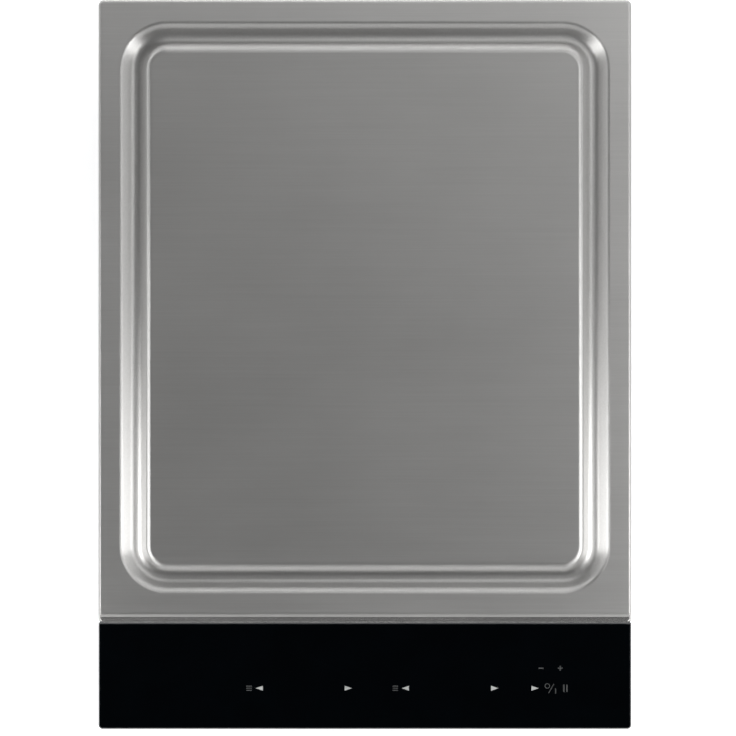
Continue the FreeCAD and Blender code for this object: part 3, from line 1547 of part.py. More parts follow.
def make_block():
    """The terminal block, its clamping screws and the earth screw beside it."""
    spots = supply_spots()
    half = d.supply_pitch / 2
    low = casing_low + d.terminal_wall
    near_y = notch_front + d.terminal_wall + d.block_inset
    high = supply_z + d.block_cover
    block = box("block", (spots[0] - half, near_y, low), (spots[-1] + half, near_y + d.block_depth, high))
    screw_y = near_y + d.block_depth / 2
    hole_low = high - d.screw_depth
    holes = [cylinder("block_hole", d.screw_radius + d.screw_clear, (x, screw_y, hole_low), d.screw_depth)
             for x in spots]
    node(cut("terminal_block", block, *holes), "terminal_block")
    screws = [screw_down("clamping_screw", x, screw_y, high, hole_low + d.screw_clear) for x in spots]
    node(group("terminal_screws", *screws), "terminal_screws")
    earth_y = near_y + d.block_depth + d.grommet_collar + d.screw_head_radius
    earth = fuse(
        "earth_stud",
        cylinder("earth_shank", d.screw_radius, (spots[0], earth_y, low), d.earth_height),
        cylinder("earth_washer", d.screw_head_radius, (spots[0], earth_y, low), d.screw_slot_depth),
        slotted_head("earth", spots[0], earth_y, low + d.earth_height, True),
    )
    node(earth, "earth_screw")


def make_lid():
    """The terminal lid: a plate below the hinge, a barrel between the lugs and a pin stub at each end."""
    outer = hinge_y
    inner = hinge_y - d.lid_thickness
    plate_top = hinge_z - d.hinge_radius - d.hinge_gap
    left = lug_left + d.lug_width + d.hinge_gap
    right = lug_right - d.lug_width - d.hinge_gap
    parts = [
        box("lid_plate", (notch_left, inner, lid_low), (box_right, outer, plate_top)),
        box("lid_neck", (left, inner, plate_top), (right, outer, hinge_z)),
        cylinder("lid_barrel", d.hinge_radius, (left, hinge_y, hinge_z), right - left, "X"),
        cylinder("lid_pin", d.hinge_pin_radius, (lug_left, hinge_y, hinge_z), lug_right - lug_left, "X"),
    ]
    node(fuse("terminal_lid", *parts), "terminal_lid")


clamp_x = wall_x + d.clamp_offset
clamp_top = -d.clamp_top_drop
clamp_foot = clamp_top - d.clamp_span
tongue_low = clamp_foot + d.tongue_lift


def make_clamps():
    """Four worktop clamps: a bracket on the wall, a screw, and a tongue that turns out and climbs."""
    brackets = []
    for end, y in (("front", d.clamp_end_gap - wall_y), ("rear", wall_y - d.clamp_end_gap)):
        for hand, sign in (("right", 1), ("left", -1)):
            brackets.append(make_clamp(f"{end}_{hand}", clamp_x * sign, y, sign))
    node(group("clamp_brackets", *brackets), "clamp_brackets")


def make_clamp(name, x, y, sign):
    """One clamp. The tongue rests along the casing wall."""
    half = d.clamp_half
    sheet_x = sorted((wall_x * sign, (wall_x + d.clamp_sheet) * sign), key=value_of)
    tab_x = sorted((wall_x * sign, (wall_x + d.clamp_tab) * sign), key=value_of)
    upper = clamp_top - d.clamp_sheet
    lower = clamp_foot + d.clamp_sheet
    parts = [
        box("clamp_back", (sheet_x[0], y - half, clamp_foot), (sheet_x[1], y + half, clamp_top)),
        box("clamp_upper_tab", (tab_x[0], y - half, upper), (tab_x[1], y + half, clamp_top)),
        box("clamp_lower_tab", (tab_x[0], y - half, clamp_foot), (tab_x[1], y + half, lower)),
    ]
    bore = cylinder("clamp_bore", d.clamp_screw_radius + d.clamp_play, (x, y, clamp_foot), d.clamp_span)
    bracket = cut("clamp_bracket", fuse("clamp_bracket_solid", *parts), bore)
    head_low = clamp_foot - d.clamp_head_height - d.hinge_gap
    shank_length = clamp_top + d.clamp_sheet * 2 - head_low
    shank = cylinder("clamp_shank", d.clamp_screw_radius, (x, y, head_low), shank_length)
    head = cylinder("clamp_head", d.clamp_head_radius, (x, y, head_low), d.clamp_head_height)
    slot_half = d.screw_slot_width / 2
    reach = d.clamp_head_radius
    slot_high = head_low + d.screw_slot_depth
    slot = box("clamp_slot", (x - reach, y - slot_half, head_low), (x + reach, y + slot_half, slot_high))
    node(cut("clamp_screw", fuse("clamp_screw_solid", shank, head), slot), "clamp_screw_" + name)
    length = d.tongue_length
    centre = (x, y + length / 2 - d.tongue_width / 2)
    outline = (d.tongue_width, length, d.tongue_width * d.slot_round_share, centre)
    tongue = plate("tongue", tongue_low, d.tongue_thickness, outline,
                   [(d.clamp_screw_radius + d.clamp_play, (x, y))])
    node(tongue, "clamp_tongue_" + name)
    return bracket


make_rim()
make_teppan_plate()
make_glass()
make_layers()
make_coils()
make_shield()
make_sensors()
make_casing()
make_fan()
make_board()
make_touch_panel()
make_frame_screws()
make_leads()
make_terminals()
make_clamps()
doc.recompute()

for item in doc.Objects:
    if "Invalid" in item.State or "Error" in item.State:
        raise RuntimeError(f"{item.Label} did not build: {item.getStatusString()}")
os.makedirs("parts", exist_ok=True)
for label, item in NODES.items():
    if item.Shape.isNull() or not item.Shape.isValid() or not item.Shape.Solids:
        raise RuntimeError(f"{label} has no sound solid")
    item.Shape.exportStep(f"parts/{label}.step")
print(len(NODES), "pieces written")
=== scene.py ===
import json
import math

import bmesh
import bpy
from bmesh.types import BMFace, BMVert
from bpy.props import FloatProperty, FloatVectorProperty, PointerProperty
from mathutils import Matrix, Vector


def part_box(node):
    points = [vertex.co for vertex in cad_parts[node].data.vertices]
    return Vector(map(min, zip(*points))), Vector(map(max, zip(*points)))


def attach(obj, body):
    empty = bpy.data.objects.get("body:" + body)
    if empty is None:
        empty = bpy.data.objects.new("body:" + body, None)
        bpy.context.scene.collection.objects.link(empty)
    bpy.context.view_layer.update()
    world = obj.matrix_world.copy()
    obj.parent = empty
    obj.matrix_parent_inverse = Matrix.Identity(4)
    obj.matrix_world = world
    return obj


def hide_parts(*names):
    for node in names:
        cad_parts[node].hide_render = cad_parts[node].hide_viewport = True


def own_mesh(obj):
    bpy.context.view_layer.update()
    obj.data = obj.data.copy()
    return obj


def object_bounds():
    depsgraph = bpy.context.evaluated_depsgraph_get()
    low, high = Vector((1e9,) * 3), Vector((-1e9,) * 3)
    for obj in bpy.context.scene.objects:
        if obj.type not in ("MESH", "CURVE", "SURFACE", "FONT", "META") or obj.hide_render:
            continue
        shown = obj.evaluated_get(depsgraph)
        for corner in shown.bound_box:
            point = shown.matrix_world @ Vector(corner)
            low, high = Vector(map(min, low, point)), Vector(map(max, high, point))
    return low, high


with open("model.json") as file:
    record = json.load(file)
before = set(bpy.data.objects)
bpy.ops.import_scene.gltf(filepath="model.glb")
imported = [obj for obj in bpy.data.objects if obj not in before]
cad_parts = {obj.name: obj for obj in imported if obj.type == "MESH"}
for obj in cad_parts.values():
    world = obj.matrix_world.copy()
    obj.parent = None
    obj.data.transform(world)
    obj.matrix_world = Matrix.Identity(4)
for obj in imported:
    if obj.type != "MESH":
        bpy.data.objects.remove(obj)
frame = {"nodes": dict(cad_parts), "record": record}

bl_info = {
    "name": "Griddle Cooktop",
    "version": (1, 0, 0),
    "blender": (4, 5, 0),
    "location": "View3D > Sidebar > Cooktop",
    "description": "Finishes the built-in griddle cooktop and sets it in a small studio",
    "category": "Object",
}

CAD_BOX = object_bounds()
NODES = frame["nodes"]
MM = 0.001
MICRON = 0.001 * MM
TOUCHING = 1 * MICRON  # points this near count as one
PLATE_LOW, PLATE_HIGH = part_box("teppan_plate")
FRAME_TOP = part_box("top_frame")[1].z
GLASS_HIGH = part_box("control_glass")[1]
SLOT_OF = {part["node"]: part["material_slot"] for part in frame["record"]["subparts"]}


# Shader building

MIX_DARK, MIX_LIGHT, MIX_RESULT = 6, 7, 2  # colour sockets of a Mix node


def add_node(tree, kind, inputs=(), **values):
    """Add a node, with plain values or the outputs of other nodes on its inputs."""
    node = tree.nodes.new(kind)
    for key, value in values.items():
        setattr(node, key, value)
    for name, source in dict(inputs).items():
        if isinstance(source, bpy.types.NodeSocket):
            tree.links.new(source, node.inputs[name])
        else:
            node.inputs[name].default_value = source
    return node


def arithmetic(tree, operation, *values):
    return add_node(tree, "ShaderNodeMath", enumerate(values), operation=operation).outputs[0]


class Finish:
    """A material in the making: one Principled surface and the nodes that feed it."""

    def __init__(self, name):
        self.material = bpy.data.materials.new(name)
        self.material.use_nodes = True
        self.tree = self.material.node_tree
        self.surface = self.tree.nodes["Principled BSDF"]
        self.place = self.tree.nodes.new("ShaderNodeTexCoord").outputs["Object"]

    def set(self, **values):
        """Set plain socket values on the surface; underscores stand for blanks."""
        for name, value in values.items():
            self.surface.inputs[name.replace("_", " ").title().replace("Ior", "IOR")].default_value = value

    def feed(self, name, output):
        self.tree.links.new(output, self.surface.inputs[name])

    def node(self, kind, inputs=(), **values):
        return add_node(self.tree, kind, inputs, **values)

    def vector(self, operation, *values):
        return self.node("ShaderNodeVectorMath", enumerate(values), operation=operation).outputs[0]

    def grain(self, per_metre, detail=3.0, roughness=0.55):
        """Noise with its own number of grains per metre along each axis."""
        mapping = self.node("ShaderNodeMapping", {"Vector": self.place, "Scale": per_metre})
        noise = {"Vector": mapping.outputs[0], "Scale": 1.0, "Detail": detail, "Roughness": roughness}
        return self.node("ShaderNodeTexNoise", noise).outputs["Fac"]

    def cells(self, per_metre, randomness=1.0):
        """Flakes: the colour value of each Voronoi cell."""
        mapping = self.node("ShaderNodeMapping", {"Vector": self.place, "Scale": per_metre})
        cells = {"Vector": mapping.outputs[0], "Scale": 1.0, "Randomness": randomness}
        colour = self.node("ShaderNodeTexVoronoi", cells).outputs["Color"]
        return self.node("ShaderNodeSeparateColor", {"Color": colour}).outputs[0]

    def blend(self, factor, dark, light, start=0.3, end=0.7):
        """A colour that runs from dark to light as the factor goes from start to end."""
        ramp = self.node("ShaderNodeValToRGB", {"Fac": factor})
        for mark, place, colour in zip(ramp.color_ramp.elements, (start, end), (dark, light)):
            mark.position = place
            mark.color = (*colour, 1)
        return ramp.outputs["Color"]

    def level(self, factor, low, high, start=0.25, end=0.75):
        """A number that runs from low to high as the factor goes from start to end."""
        inputs = {"Value": factor, "From Min": start, "From Max": end, "To Min": low, "To Max": high}
        return self.node("ShaderNodeMapRange", inputs).outputs["Result"]

    def relief(self, height, distance):
        """Fine relief; the distance is the height of the relief in metres."""
        bump = self.node("ShaderNodeBump", {"Height": height, "Distance": distance, "Strength": 1.0})
        self.feed("Normal", bump.outputs["Normal"])


def shade(colour, factor):
    return tuple(min(1.0, part * factor) for part in colour)


def moulded(name, colour, roughness, grain, contrast, metallic=0.0, relief=20, stretch=(1, 1, 1)):
    """A surface with a fine grain: moulded plastic, coated sheet, rubber or cast metal.

    The grain is a number per metre, and the relief is in microns.
    """
    spread = 0.07
    finish = Finish(name)
    finish.set(metallic=metallic)
    fine = finish.grain(tuple(grain * part for part in stretch), detail=2.0)
    broad = finish.grain((28, 28, 28), detail=4.0)
    finish.feed("Base Color", finish.blend(broad, shade(colour, 1 - contrast), shade(colour, 1 + contrast)))
    finish.feed("Roughness", finish.level(fine, roughness - spread, roughness + spread))
    finish.relief(fine, relief * MICRON)
    return finish


# Finishes of this cooktop


def brushed_steel(name, look, tone, anisotropy, roughness):
    """Satin stainless sheet with fine brush lines along its width."""
    spread = 0.04
    finish = Finish(name)
    finish.set(metallic=1.0, anisotropic=anisotropy)
    finish.feed("Tangent", finish.node("ShaderNodeCombineXYZ", {"X": 0.0, "Y": 1.0, "Z": 0.0}).outputs[0])
    spacing = 1 / look.brush_pitch
    hair = finish.grain((9, spacing, spacing), detail=5.0, roughness=0.75)
    cloud = finish.grain((6, 10, 10), detail=4.0)
    mixed = arithmetic(finish.tree, "MULTIPLY", arithmetic(finish.tree, "ADD", hair, cloud), 0.5)
    colour = shade(look.steel, tone)
    low, high = shade(colour, 1 - look.brush_contrast), shade(colour, 1 + look.brush_contrast)
    finish.feed("Base Color", finish.blend(mixed, low, high))
    finish.feed("Roughness", finish.level(hair, roughness - spread, roughness + spread))
    finish.relief(hair, 3 * MICRON)
    return finish


def drawn_steel(name, look):
    """Steel of the gutter, polished along its run, so that its sheen spreads across it."""
    rough, spread = look.gutter_roughness, 0.03
    finish = Finish(name)
    finish.set(metallic=1.0, anisotropic=look.anisotropy)
    bend_line = PLATE_LOW.y + look.lip_width
    straight = look.rim_width + look.corner_radius
    core = Vector((PLATE_HIGH.x - straight, (PLATE_HIGH.y - bend_line) / 2 - straight, 1.0))
    middle = Vector((0.0, (PLATE_HIGH.y + bend_line) / 2, 0.0))
    nearest = finish.vector("MINIMUM", finish.vector("MAXIMUM", finish.place, middle - core), middle + core)
    across = finish.vector("NORMALIZE", finish.vector("SUBTRACT", finish.place, nearest))
    finish.feed("Tangent", across)
    grain = finish.grain((700, 700, 700), detail=4.0)
    finish.feed("Base Color", finish.blend(grain, shade(look.steel, 0.96), shade(look.steel, 1.04)))
    finish.feed("Roughness", finish.level(grain, rough - spread, rough + spread))
    finish.relief(grain, 2 * MICRON)
    return finish


FINISHES = {}


def finish_of(slot):
    return FINISHES[slot].material


def paint(node_name):
    """Give a CAD piece the finish of its material slot."""
    materials = NODES[node_name].data.materials
    materials.clear()
    materials.append(finish_of(SLOT_OF[node_name]))


def soften(node_name, width, sharp=40.0):
    """Break those edges of a CAD piece that turn by more than the sharp angle."""
    item = NODES[node_name]
    weld = item.modifiers.new("weld", "WELD")
    weld.merge_threshold = 10 * MICRON
    bevel = item.modifiers.new("edges", "BEVEL")
    bevel.width = width
    bevel.segments = 2
    bevel.limit_method = "ANGLE"
    bevel.angle_limit = math.radians(sharp)


# Mesh helpers

GLASS_ARRIS = 0.15 * MM
SHEET_EDGE = 0.25 * MM
MOULDED_EDGE = 0.3 * MM


def new_piece(name, bm, finish, body="cooktop", smooth=30.0):
    """Turn a bmesh into a piece that rides on a body, takes a finish and is smooth up to an angle."""
    mesh = bpy.data.meshes.new(name)
    bm.to_mesh(mesh)
    bm.free()
    item = bpy.data.objects.new(name, mesh)
    bpy.context.scene.collection.objects.link(item)
    mesh.materials.append(finish_of(finish))
    mesh.shade_smooth()
    mesh.set_sharp_from_angle(angle=math.radians(smooth))
    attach(item, body)
    return item


def only(kind, geom):
    """The vertices or the faces among what an operator made."""
    return [item for item in geom if isinstance(item, kind)]


def faces_round(verts):
    return list({face for vert in verts for face in vert.link_faces})


def arc_steps(radius, angle, count):
    """Run and drop of each short step round a bend that starts level and ends at an angle."""
    steps = []
    for step in range(count):
        old = angle * step / count
        new = angle * (step + 1) / count
        steps.append((radius * (math.sin(new) - math.sin(old)), radius * (math.cos(new) - math.cos(old))))
    return steps


# Settings


class PlateSettings(bpy.types.PropertyGroup):
    """Sizes and colours of the griddle plate."""

    steel: FloatVectorProperty(
        name="Steel", description="Colour of the brushed sheet", subtype="COLOR", size=3, min=0, max=1,
        default=(0.62, 0.615, 0.605))
    roughness: FloatProperty(name="Roughness", description="Spread of the brushed sheen", default=0.42, min=0,
                             max=1, subtype="FACTOR")
    anisotropy: FloatProperty(name="Anisotropy", description="Stretch of the sheen across the brush lines",
                              default=0.75, min=0, max=1, subtype="FACTOR")
    gutter_roughness: FloatProperty(name="Gutter roughness", description="Spread of the gutter's sheen",
                                    default=0.4, min=0, max=1, subtype="FACTOR")
    lip_roughness: FloatProperty(name="Lip roughness", description="Spread of the sheen on the folded lip",
                                 default=0.22, min=0, max=1, subtype="FACTOR")
    edge_roughness: FloatProperty(name="Edge roughness", description="Spread of the sheen on rounded edges",
                                  default=0.62, min=0, max=1, subtype="FACTOR")
    brush_pitch: FloatProperty(name="Brush pitch", description="Distance between brush lines",
                               default=0.9 * MM, unit="LENGTH")
    brush_contrast: FloatProperty(name="Brush contrast", description="How far the brush lines differ in tone",
                                  default=0.09, min=0, max=1, subtype="FACTOR")
    rim_width: FloatProperty(name="Rim width", description="Flat rim outside the gutter", default=16.5 * MM,
                             unit="LENGTH")
    gutter_width: FloatProperty(name="Gutter width", description="Gutter from rim to cooking surface",
                                default=19.2 * MM, unit="LENGTH")
    gutter_depth: FloatProperty(name="Gutter depth", description="Gutter floor below the rim", default=7 * MM,
                                unit="LENGTH")
    cooking_drop: FloatProperty(name="Cooking drop", description="Cooking surface below the rim",
                                default=1 * MM, unit="LENGTH")
    outer_run: FloatProperty(name="Outer slope", description="Run of the gutter's outer slope",
                             default=7.5 * MM, unit="LENGTH")
    inner_run: FloatProperty(name="Inner slope", description="Run of the gutter's inner slope",
                             default=6.5 * MM, unit="LENGTH")
    plate_corner: FloatProperty(name="Rear corners", description="Plan radius of the rear corners",
                                default=4 * MM, unit="LENGTH")
    lip_corner: FloatProperty(name="Lip corners", description="Plan radius of the lip's corners",
                              default=2.5 * MM, unit="LENGTH")
    edge_radius: FloatProperty(name="Edge radius", description="Rounding of the outer top edge",
                               default=2 * MM, unit="LENGTH")
    corner_radius: FloatProperty(name="Gutter corner", description="Plan radius of the gutter's outer line",
                                 default=32.8 * MM, unit="LENGTH")
    bend_radius: FloatProperty(name="Bend radius", description="Bends at the gutter's edges", default=6 * MM,
                               unit="LENGTH")
    outer_bend: FloatProperty(name="Outer bend", description="Bend between rim and gutter", default=3.5 * MM,
                              unit="LENGTH")
    floor_radius: FloatProperty(name="Floor radius", description="Bends at the gutter's floor",
                                default=5.5 * MM, unit="LENGTH")
    lip_width: FloatProperty(name="Lip width", description="Slanted lip behind the glass", default=5.3 * MM,
                             unit="LENGTH")
    lip_bend: FloatProperty(name="Lip bend", description="Bend between rim and lip", default=6 * MM,
                            unit="LENGTH")
    lip_edge: FloatProperty(name="Lip edge", description="Rounding of the lip's lower edge", default=0.3 * MM,
                            unit="LENGTH")
    lip_drop: FloatProperty(name="Lip drop", description="Height of the slanted lip", default=2.5 * MM,
                            unit="LENGTH")
    sheet: FloatProperty(name="Sheet", description="Thickness of the steel sheet", default=1.5 * MM,
                         unit="LENGTH")


class GlassSettings(bpy.types.PropertyGroup):
    """Colours and print of the touch panel."""

    glass: FloatVectorProperty(name="Glass", description="Colour of the black glass", subtype="COLOR", size=3,
                               min=0, max=1, default=(0.0005, 0.001, 0.0016))
    ground_edge: FloatVectorProperty(name="Ground edge", description="Colour of the ground edges",
                                     subtype="COLOR", size=3, min=0, max=1, default=(0.13, 0.135, 0.14))
    ink: FloatVectorProperty(name="Ink", description="Colour of the bright touch signs", subtype="COLOR",
                             size=3, min=0, max=1, default=(0.42, 0.43, 0.42))
    faint_ink: FloatVectorProperty(name="Faint ink", description="Colour of the faint touch signs",
                                   subtype="COLOR", size=3, min=0, max=1, default=(0.045, 0.047, 0.047))
    ink_height: FloatProperty(name="Ink height", description="Thickness of the print", default=0.04 * MM,
                              unit="LENGTH")


class StageSettings(bpy.types.PropertyGroup):
    """Camera, floor and lamps."""

    camera_height: FloatProperty(name="Camera height", description="Camera above the rim", default=3.0,
                                 unit="LENGTH")
    lens: FloatProperty(name="Lens", description="Focal length", default=205.9, unit="CAMERA")
    main_power: FloatProperty(name="Main softbox", description="Softbox above the rear right", default=8.4,
                              unit="POWER")
    right_power: FloatProperty(name="Right softbox", description="Softbox above the right", default=2.2,
                               unit="POWER")
    front_power: FloatProperty(name="Front softbox", description="Softbox above the front", default=0.9,
                               unit="POWER")
    card_power: FloatProperty(name="Side cards", description="Each card beside the front half", default=1.58,
                              unit="POWER")
    front_card_power: FloatProperty(name="Front card", description="Low card in front", default=0.4,
                                    unit="POWER")
    rear_card_power: FloatProperty(name="Rear card", description="Low card behind", default=0.83,
                                   unit="POWER")
    floor_glow: FloatProperty(name="Floor glow", description="How far the floor near by is lifted to white",
                              default=0.52, min=0, max=1, subtype="FACTOR")
    floor_near: FloatProperty(name="Near floor", description="Radius in which the floor keeps its shadow",
                              default=0.4, unit="LENGTH")
    floor_far: FloatProperty(name="Far floor", description="Radius from which the floor is white",
                             default=1.2, unit="LENGTH")
    floor: FloatVectorProperty(name="Floor", description="Colour of the floor", subtype="COLOR", size=3,
                               min=0, max=1, default=(0.82, 0.82, 0.82))


# Pieces


class COOKTOP_OT_finishes(bpy.types.Operator):
    """Mix the finishes of every material slot"""

    bl_idname = "cooktop.finishes"
    bl_label = "Mix finishes"

    def execute(self, context):
        self.mix_steels(context.scene.cooktop_plate)
        self.mix_glass(context.scene.cooktop_glass)
        self.mix_metals()
        self.mix_plastics()
        return {"FINISHED"}

    def mix_steels(self, look):
        """The griddle plate's sheet, in its several grinds; the darker tones of the cooking surface and the
        rounded edges are painted shade.
        """
        sheets = {  # name, tone, anisotropy, roughness
            "griddle_steel": ("brushed_rim", 1.0, look.anisotropy, look.roughness),
            # painted shade: the cooking surface is the rim's steel darkened to 0.86, standing in for the
            # darker light it reflects
            "cooking_steel": ("brushed_cooking_surface_painted_shade", 0.86, look.anisotropy, look.roughness),
            "lip_steel": ("brushed_lip", 1.0, 0.1, look.lip_roughness),
            # painted shade: the rounded edges are the rim's steel darkened to 0.8, to hold down the light
            # they catch from the cards
            "edge_steel": ("brushed_edge_painted_shade", 0.8, 0.0, look.edge_roughness),
        }
        for slot, (name, tone, anisotropy, roughness) in sheets.items():
            FINISHES[slot] = brushed_steel(name, look, tone, anisotropy, roughness)
        FINISHES["gutter_steel"] = drawn_steel("drawn_gutter", look)

    def mix_glass(self, look):
        """Black glass that is polished on top and ground at its edges, and the inks on it."""
        panel = Finish("black_glass")
        panel.set(metallic=0.0, ior=1.5)
        haze = panel.grain((40, 40, 40), detail=5.0)
        polished = panel.blend(haze, shade(look.glass, 0.8), shade(look.glass, 1.2))
        normal = panel.node("ShaderNodeNewGeometry").outputs["Normal"]
        upright = panel.node("ShaderNodeSeparateXYZ", {"Vector": normal}).outputs["Z"]
        ground = panel.level(upright, 0.0, 1.0, start=0.97, end=0.8)
        colours = {"Factor": ground, MIX_DARK: polished, MIX_LIGHT: (*look.ground_edge, 1)}
        panel.feed("Base Color", panel.node("ShaderNodeMix", colours, data_type="RGBA").outputs[MIX_RESULT])
        panel.feed("Roughness", panel.level(ground, 0.03, 0.4, start=0.0, end=1.0))
        FINISHES["black_glass"] = panel
        for slot, ink in (("bright_print", look.ink), ("faint_print", look.faint_ink)):
            FINISHES[slot] = moulded(slot, ink, roughness=0.55, grain=4000, contrast=0.06)

    def mix_metals(self):
        """Sheet, turned and cast metals."""
        zinc = Finish("zinc_steel")
        zinc.set(metallic=0.85)
        spangle = zinc.cells((170, 170, 170))
        fine = zinc.grain((900, 900, 900))
        dark, light = (0.36, 0.37, 0.385), (0.43, 0.44, 0.455)
        zinc.feed("Base Color", zinc.blend(spangle, dark, light, start=0.1, end=0.9))
        zinc.feed("Roughness", zinc.level(spangle, 0.36, 0.5))
        zinc.relief(fine, 6 * MICRON)
        FINISHES["zinc_steel"] = zinc
        metals = {  # colour, roughness, grain, contrast, metallic, stretch
            "cast_aluminium": ((0.62, 0.63, 0.64), 0.42, 900, 0.06, 0.9, (1, 8, 8)),
            "magnetic_steel": ((0.38, 0.38, 0.39), 0.5, 500, 0.08, 0.9, (1, 10, 10)),
            "frame_steel": ((0.035, 0.035, 0.038), 0.55, 2200, 0.12, 0.0, (1, 1, 1)),
            "screw_steel": ((0.6, 0.6, 0.6), 0.3, 1500, 0.06, 1.0, (1, 1, 6)),
            "motor_metal": ((0.24, 0.24, 0.26), 0.45, 300, 0.1, 0.8, (1, 1, 14)),
            "copper_wire": ((0.58, 0.27, 0.13), 0.35, 1800, 0.14, 0.9, (1, 1, 1)),
            "ferrite": ((0.07, 0.07, 0.075), 0.6, 1600, 0.1, 0.2, (1, 1, 1)),
            "terminal_brass": ((0.7, 0.55, 0.26), 0.32, 1500, 0.08, 1.0, (1, 1, 6)),
            "sensor_metal": ((0.66, 0.66, 0.67), 0.34, 1500, 0.06, 0.95, (1, 1, 6)),
        }
        for slot, (*look, metallic, stretch) in metals.items():
            FINISHES[slot] = moulded(slot, *look, metallic=metallic, relief=5, stretch=stretch)

    def mix_plastics(self):
        """Plastics, rubbers, boards and insulation."""
        plain = {  # colour, roughness, grain, contrast, relief
            "ceramic_wool": ((0.82, 0.81, 0.77), 0.9, 700, 0.1, 200),
            "seal_rubber": ((0.022, 0.022, 0.023), 0.8, 1500, 0.2, 60),
            "silicone": ((0.03, 0.03, 0.03), 0.5, 800, 0.15, 20),
            "carbon_foam": ((0.05, 0.05, 0.055), 0.85, 1200, 0.2, 100),
            "display_plastic": ((0.09, 0.02, 0.02), 0.2, 1500, 0.08, 4),
            "dark_plastic": ((0.03, 0.03, 0.033), 0.5, 2400, 0.14, 20),
            "grey_plastic": ((0.5, 0.51, 0.52), 0.5, 2400, 0.06, 20),
            "capacitor_plastic": ((0.66, 0.54, 0.08), 0.35, 2000, 0.06, 10),
            "lead_sleeve": ((0.5, 0.5, 0.47), 0.75, 1800, 0.12, 60),
            "socket_plastic": ((0.8, 0.79, 0.74), 0.5, 2200, 0.04, 10),
        }
        for slot, (*look, relief) in plain.items():
            FINISHES[slot] = moulded(slot, *look, relief=relief)
        board = Finish("circuit_board")
        tracks = board.cells((220, 220, 220), randomness=0.15)
        dark, light = (0.02, 0.13, 0.06), (0.05, 0.22, 0.1)
        board.feed("Base Color", board.blend(tracks, dark, light, start=0.45, end=0.55))
        board.feed("Roughness", board.level(tracks, 0.3, 0.45))
        FINISHES["circuit_board"] = board
        mica = Finish("mica")
        flakes = mica.cells((260, 260, 260))
        dark, light = (0.4, 0.33, 0.23), (0.62, 0.55, 0.42)
        mica.feed("Base Color", mica.blend(flakes, dark, light, start=0.1, end=0.9))
        mica.feed("Roughness", mica.level(flakes, 0.35, 0.6))
        FINISHES["mica"] = mica


BEND_STEPS = 8  # round each bend of the gutter
GUTTER_CORNER_STEPS = 24
PLATE_CORNER_STEPS = 8
LIP_STEPS = 6
LEVEL, STEEP, SLACK = 0.99, 0.5, 0.01  # upward parts of a face's normal
RIM, COOKING, GUTTER, LIP, EDGE = range(5)
PLATE_FINISHES = ("griddle_steel", "cooking_steel", "gutter_steel", "lip_steel", "edge_steel")


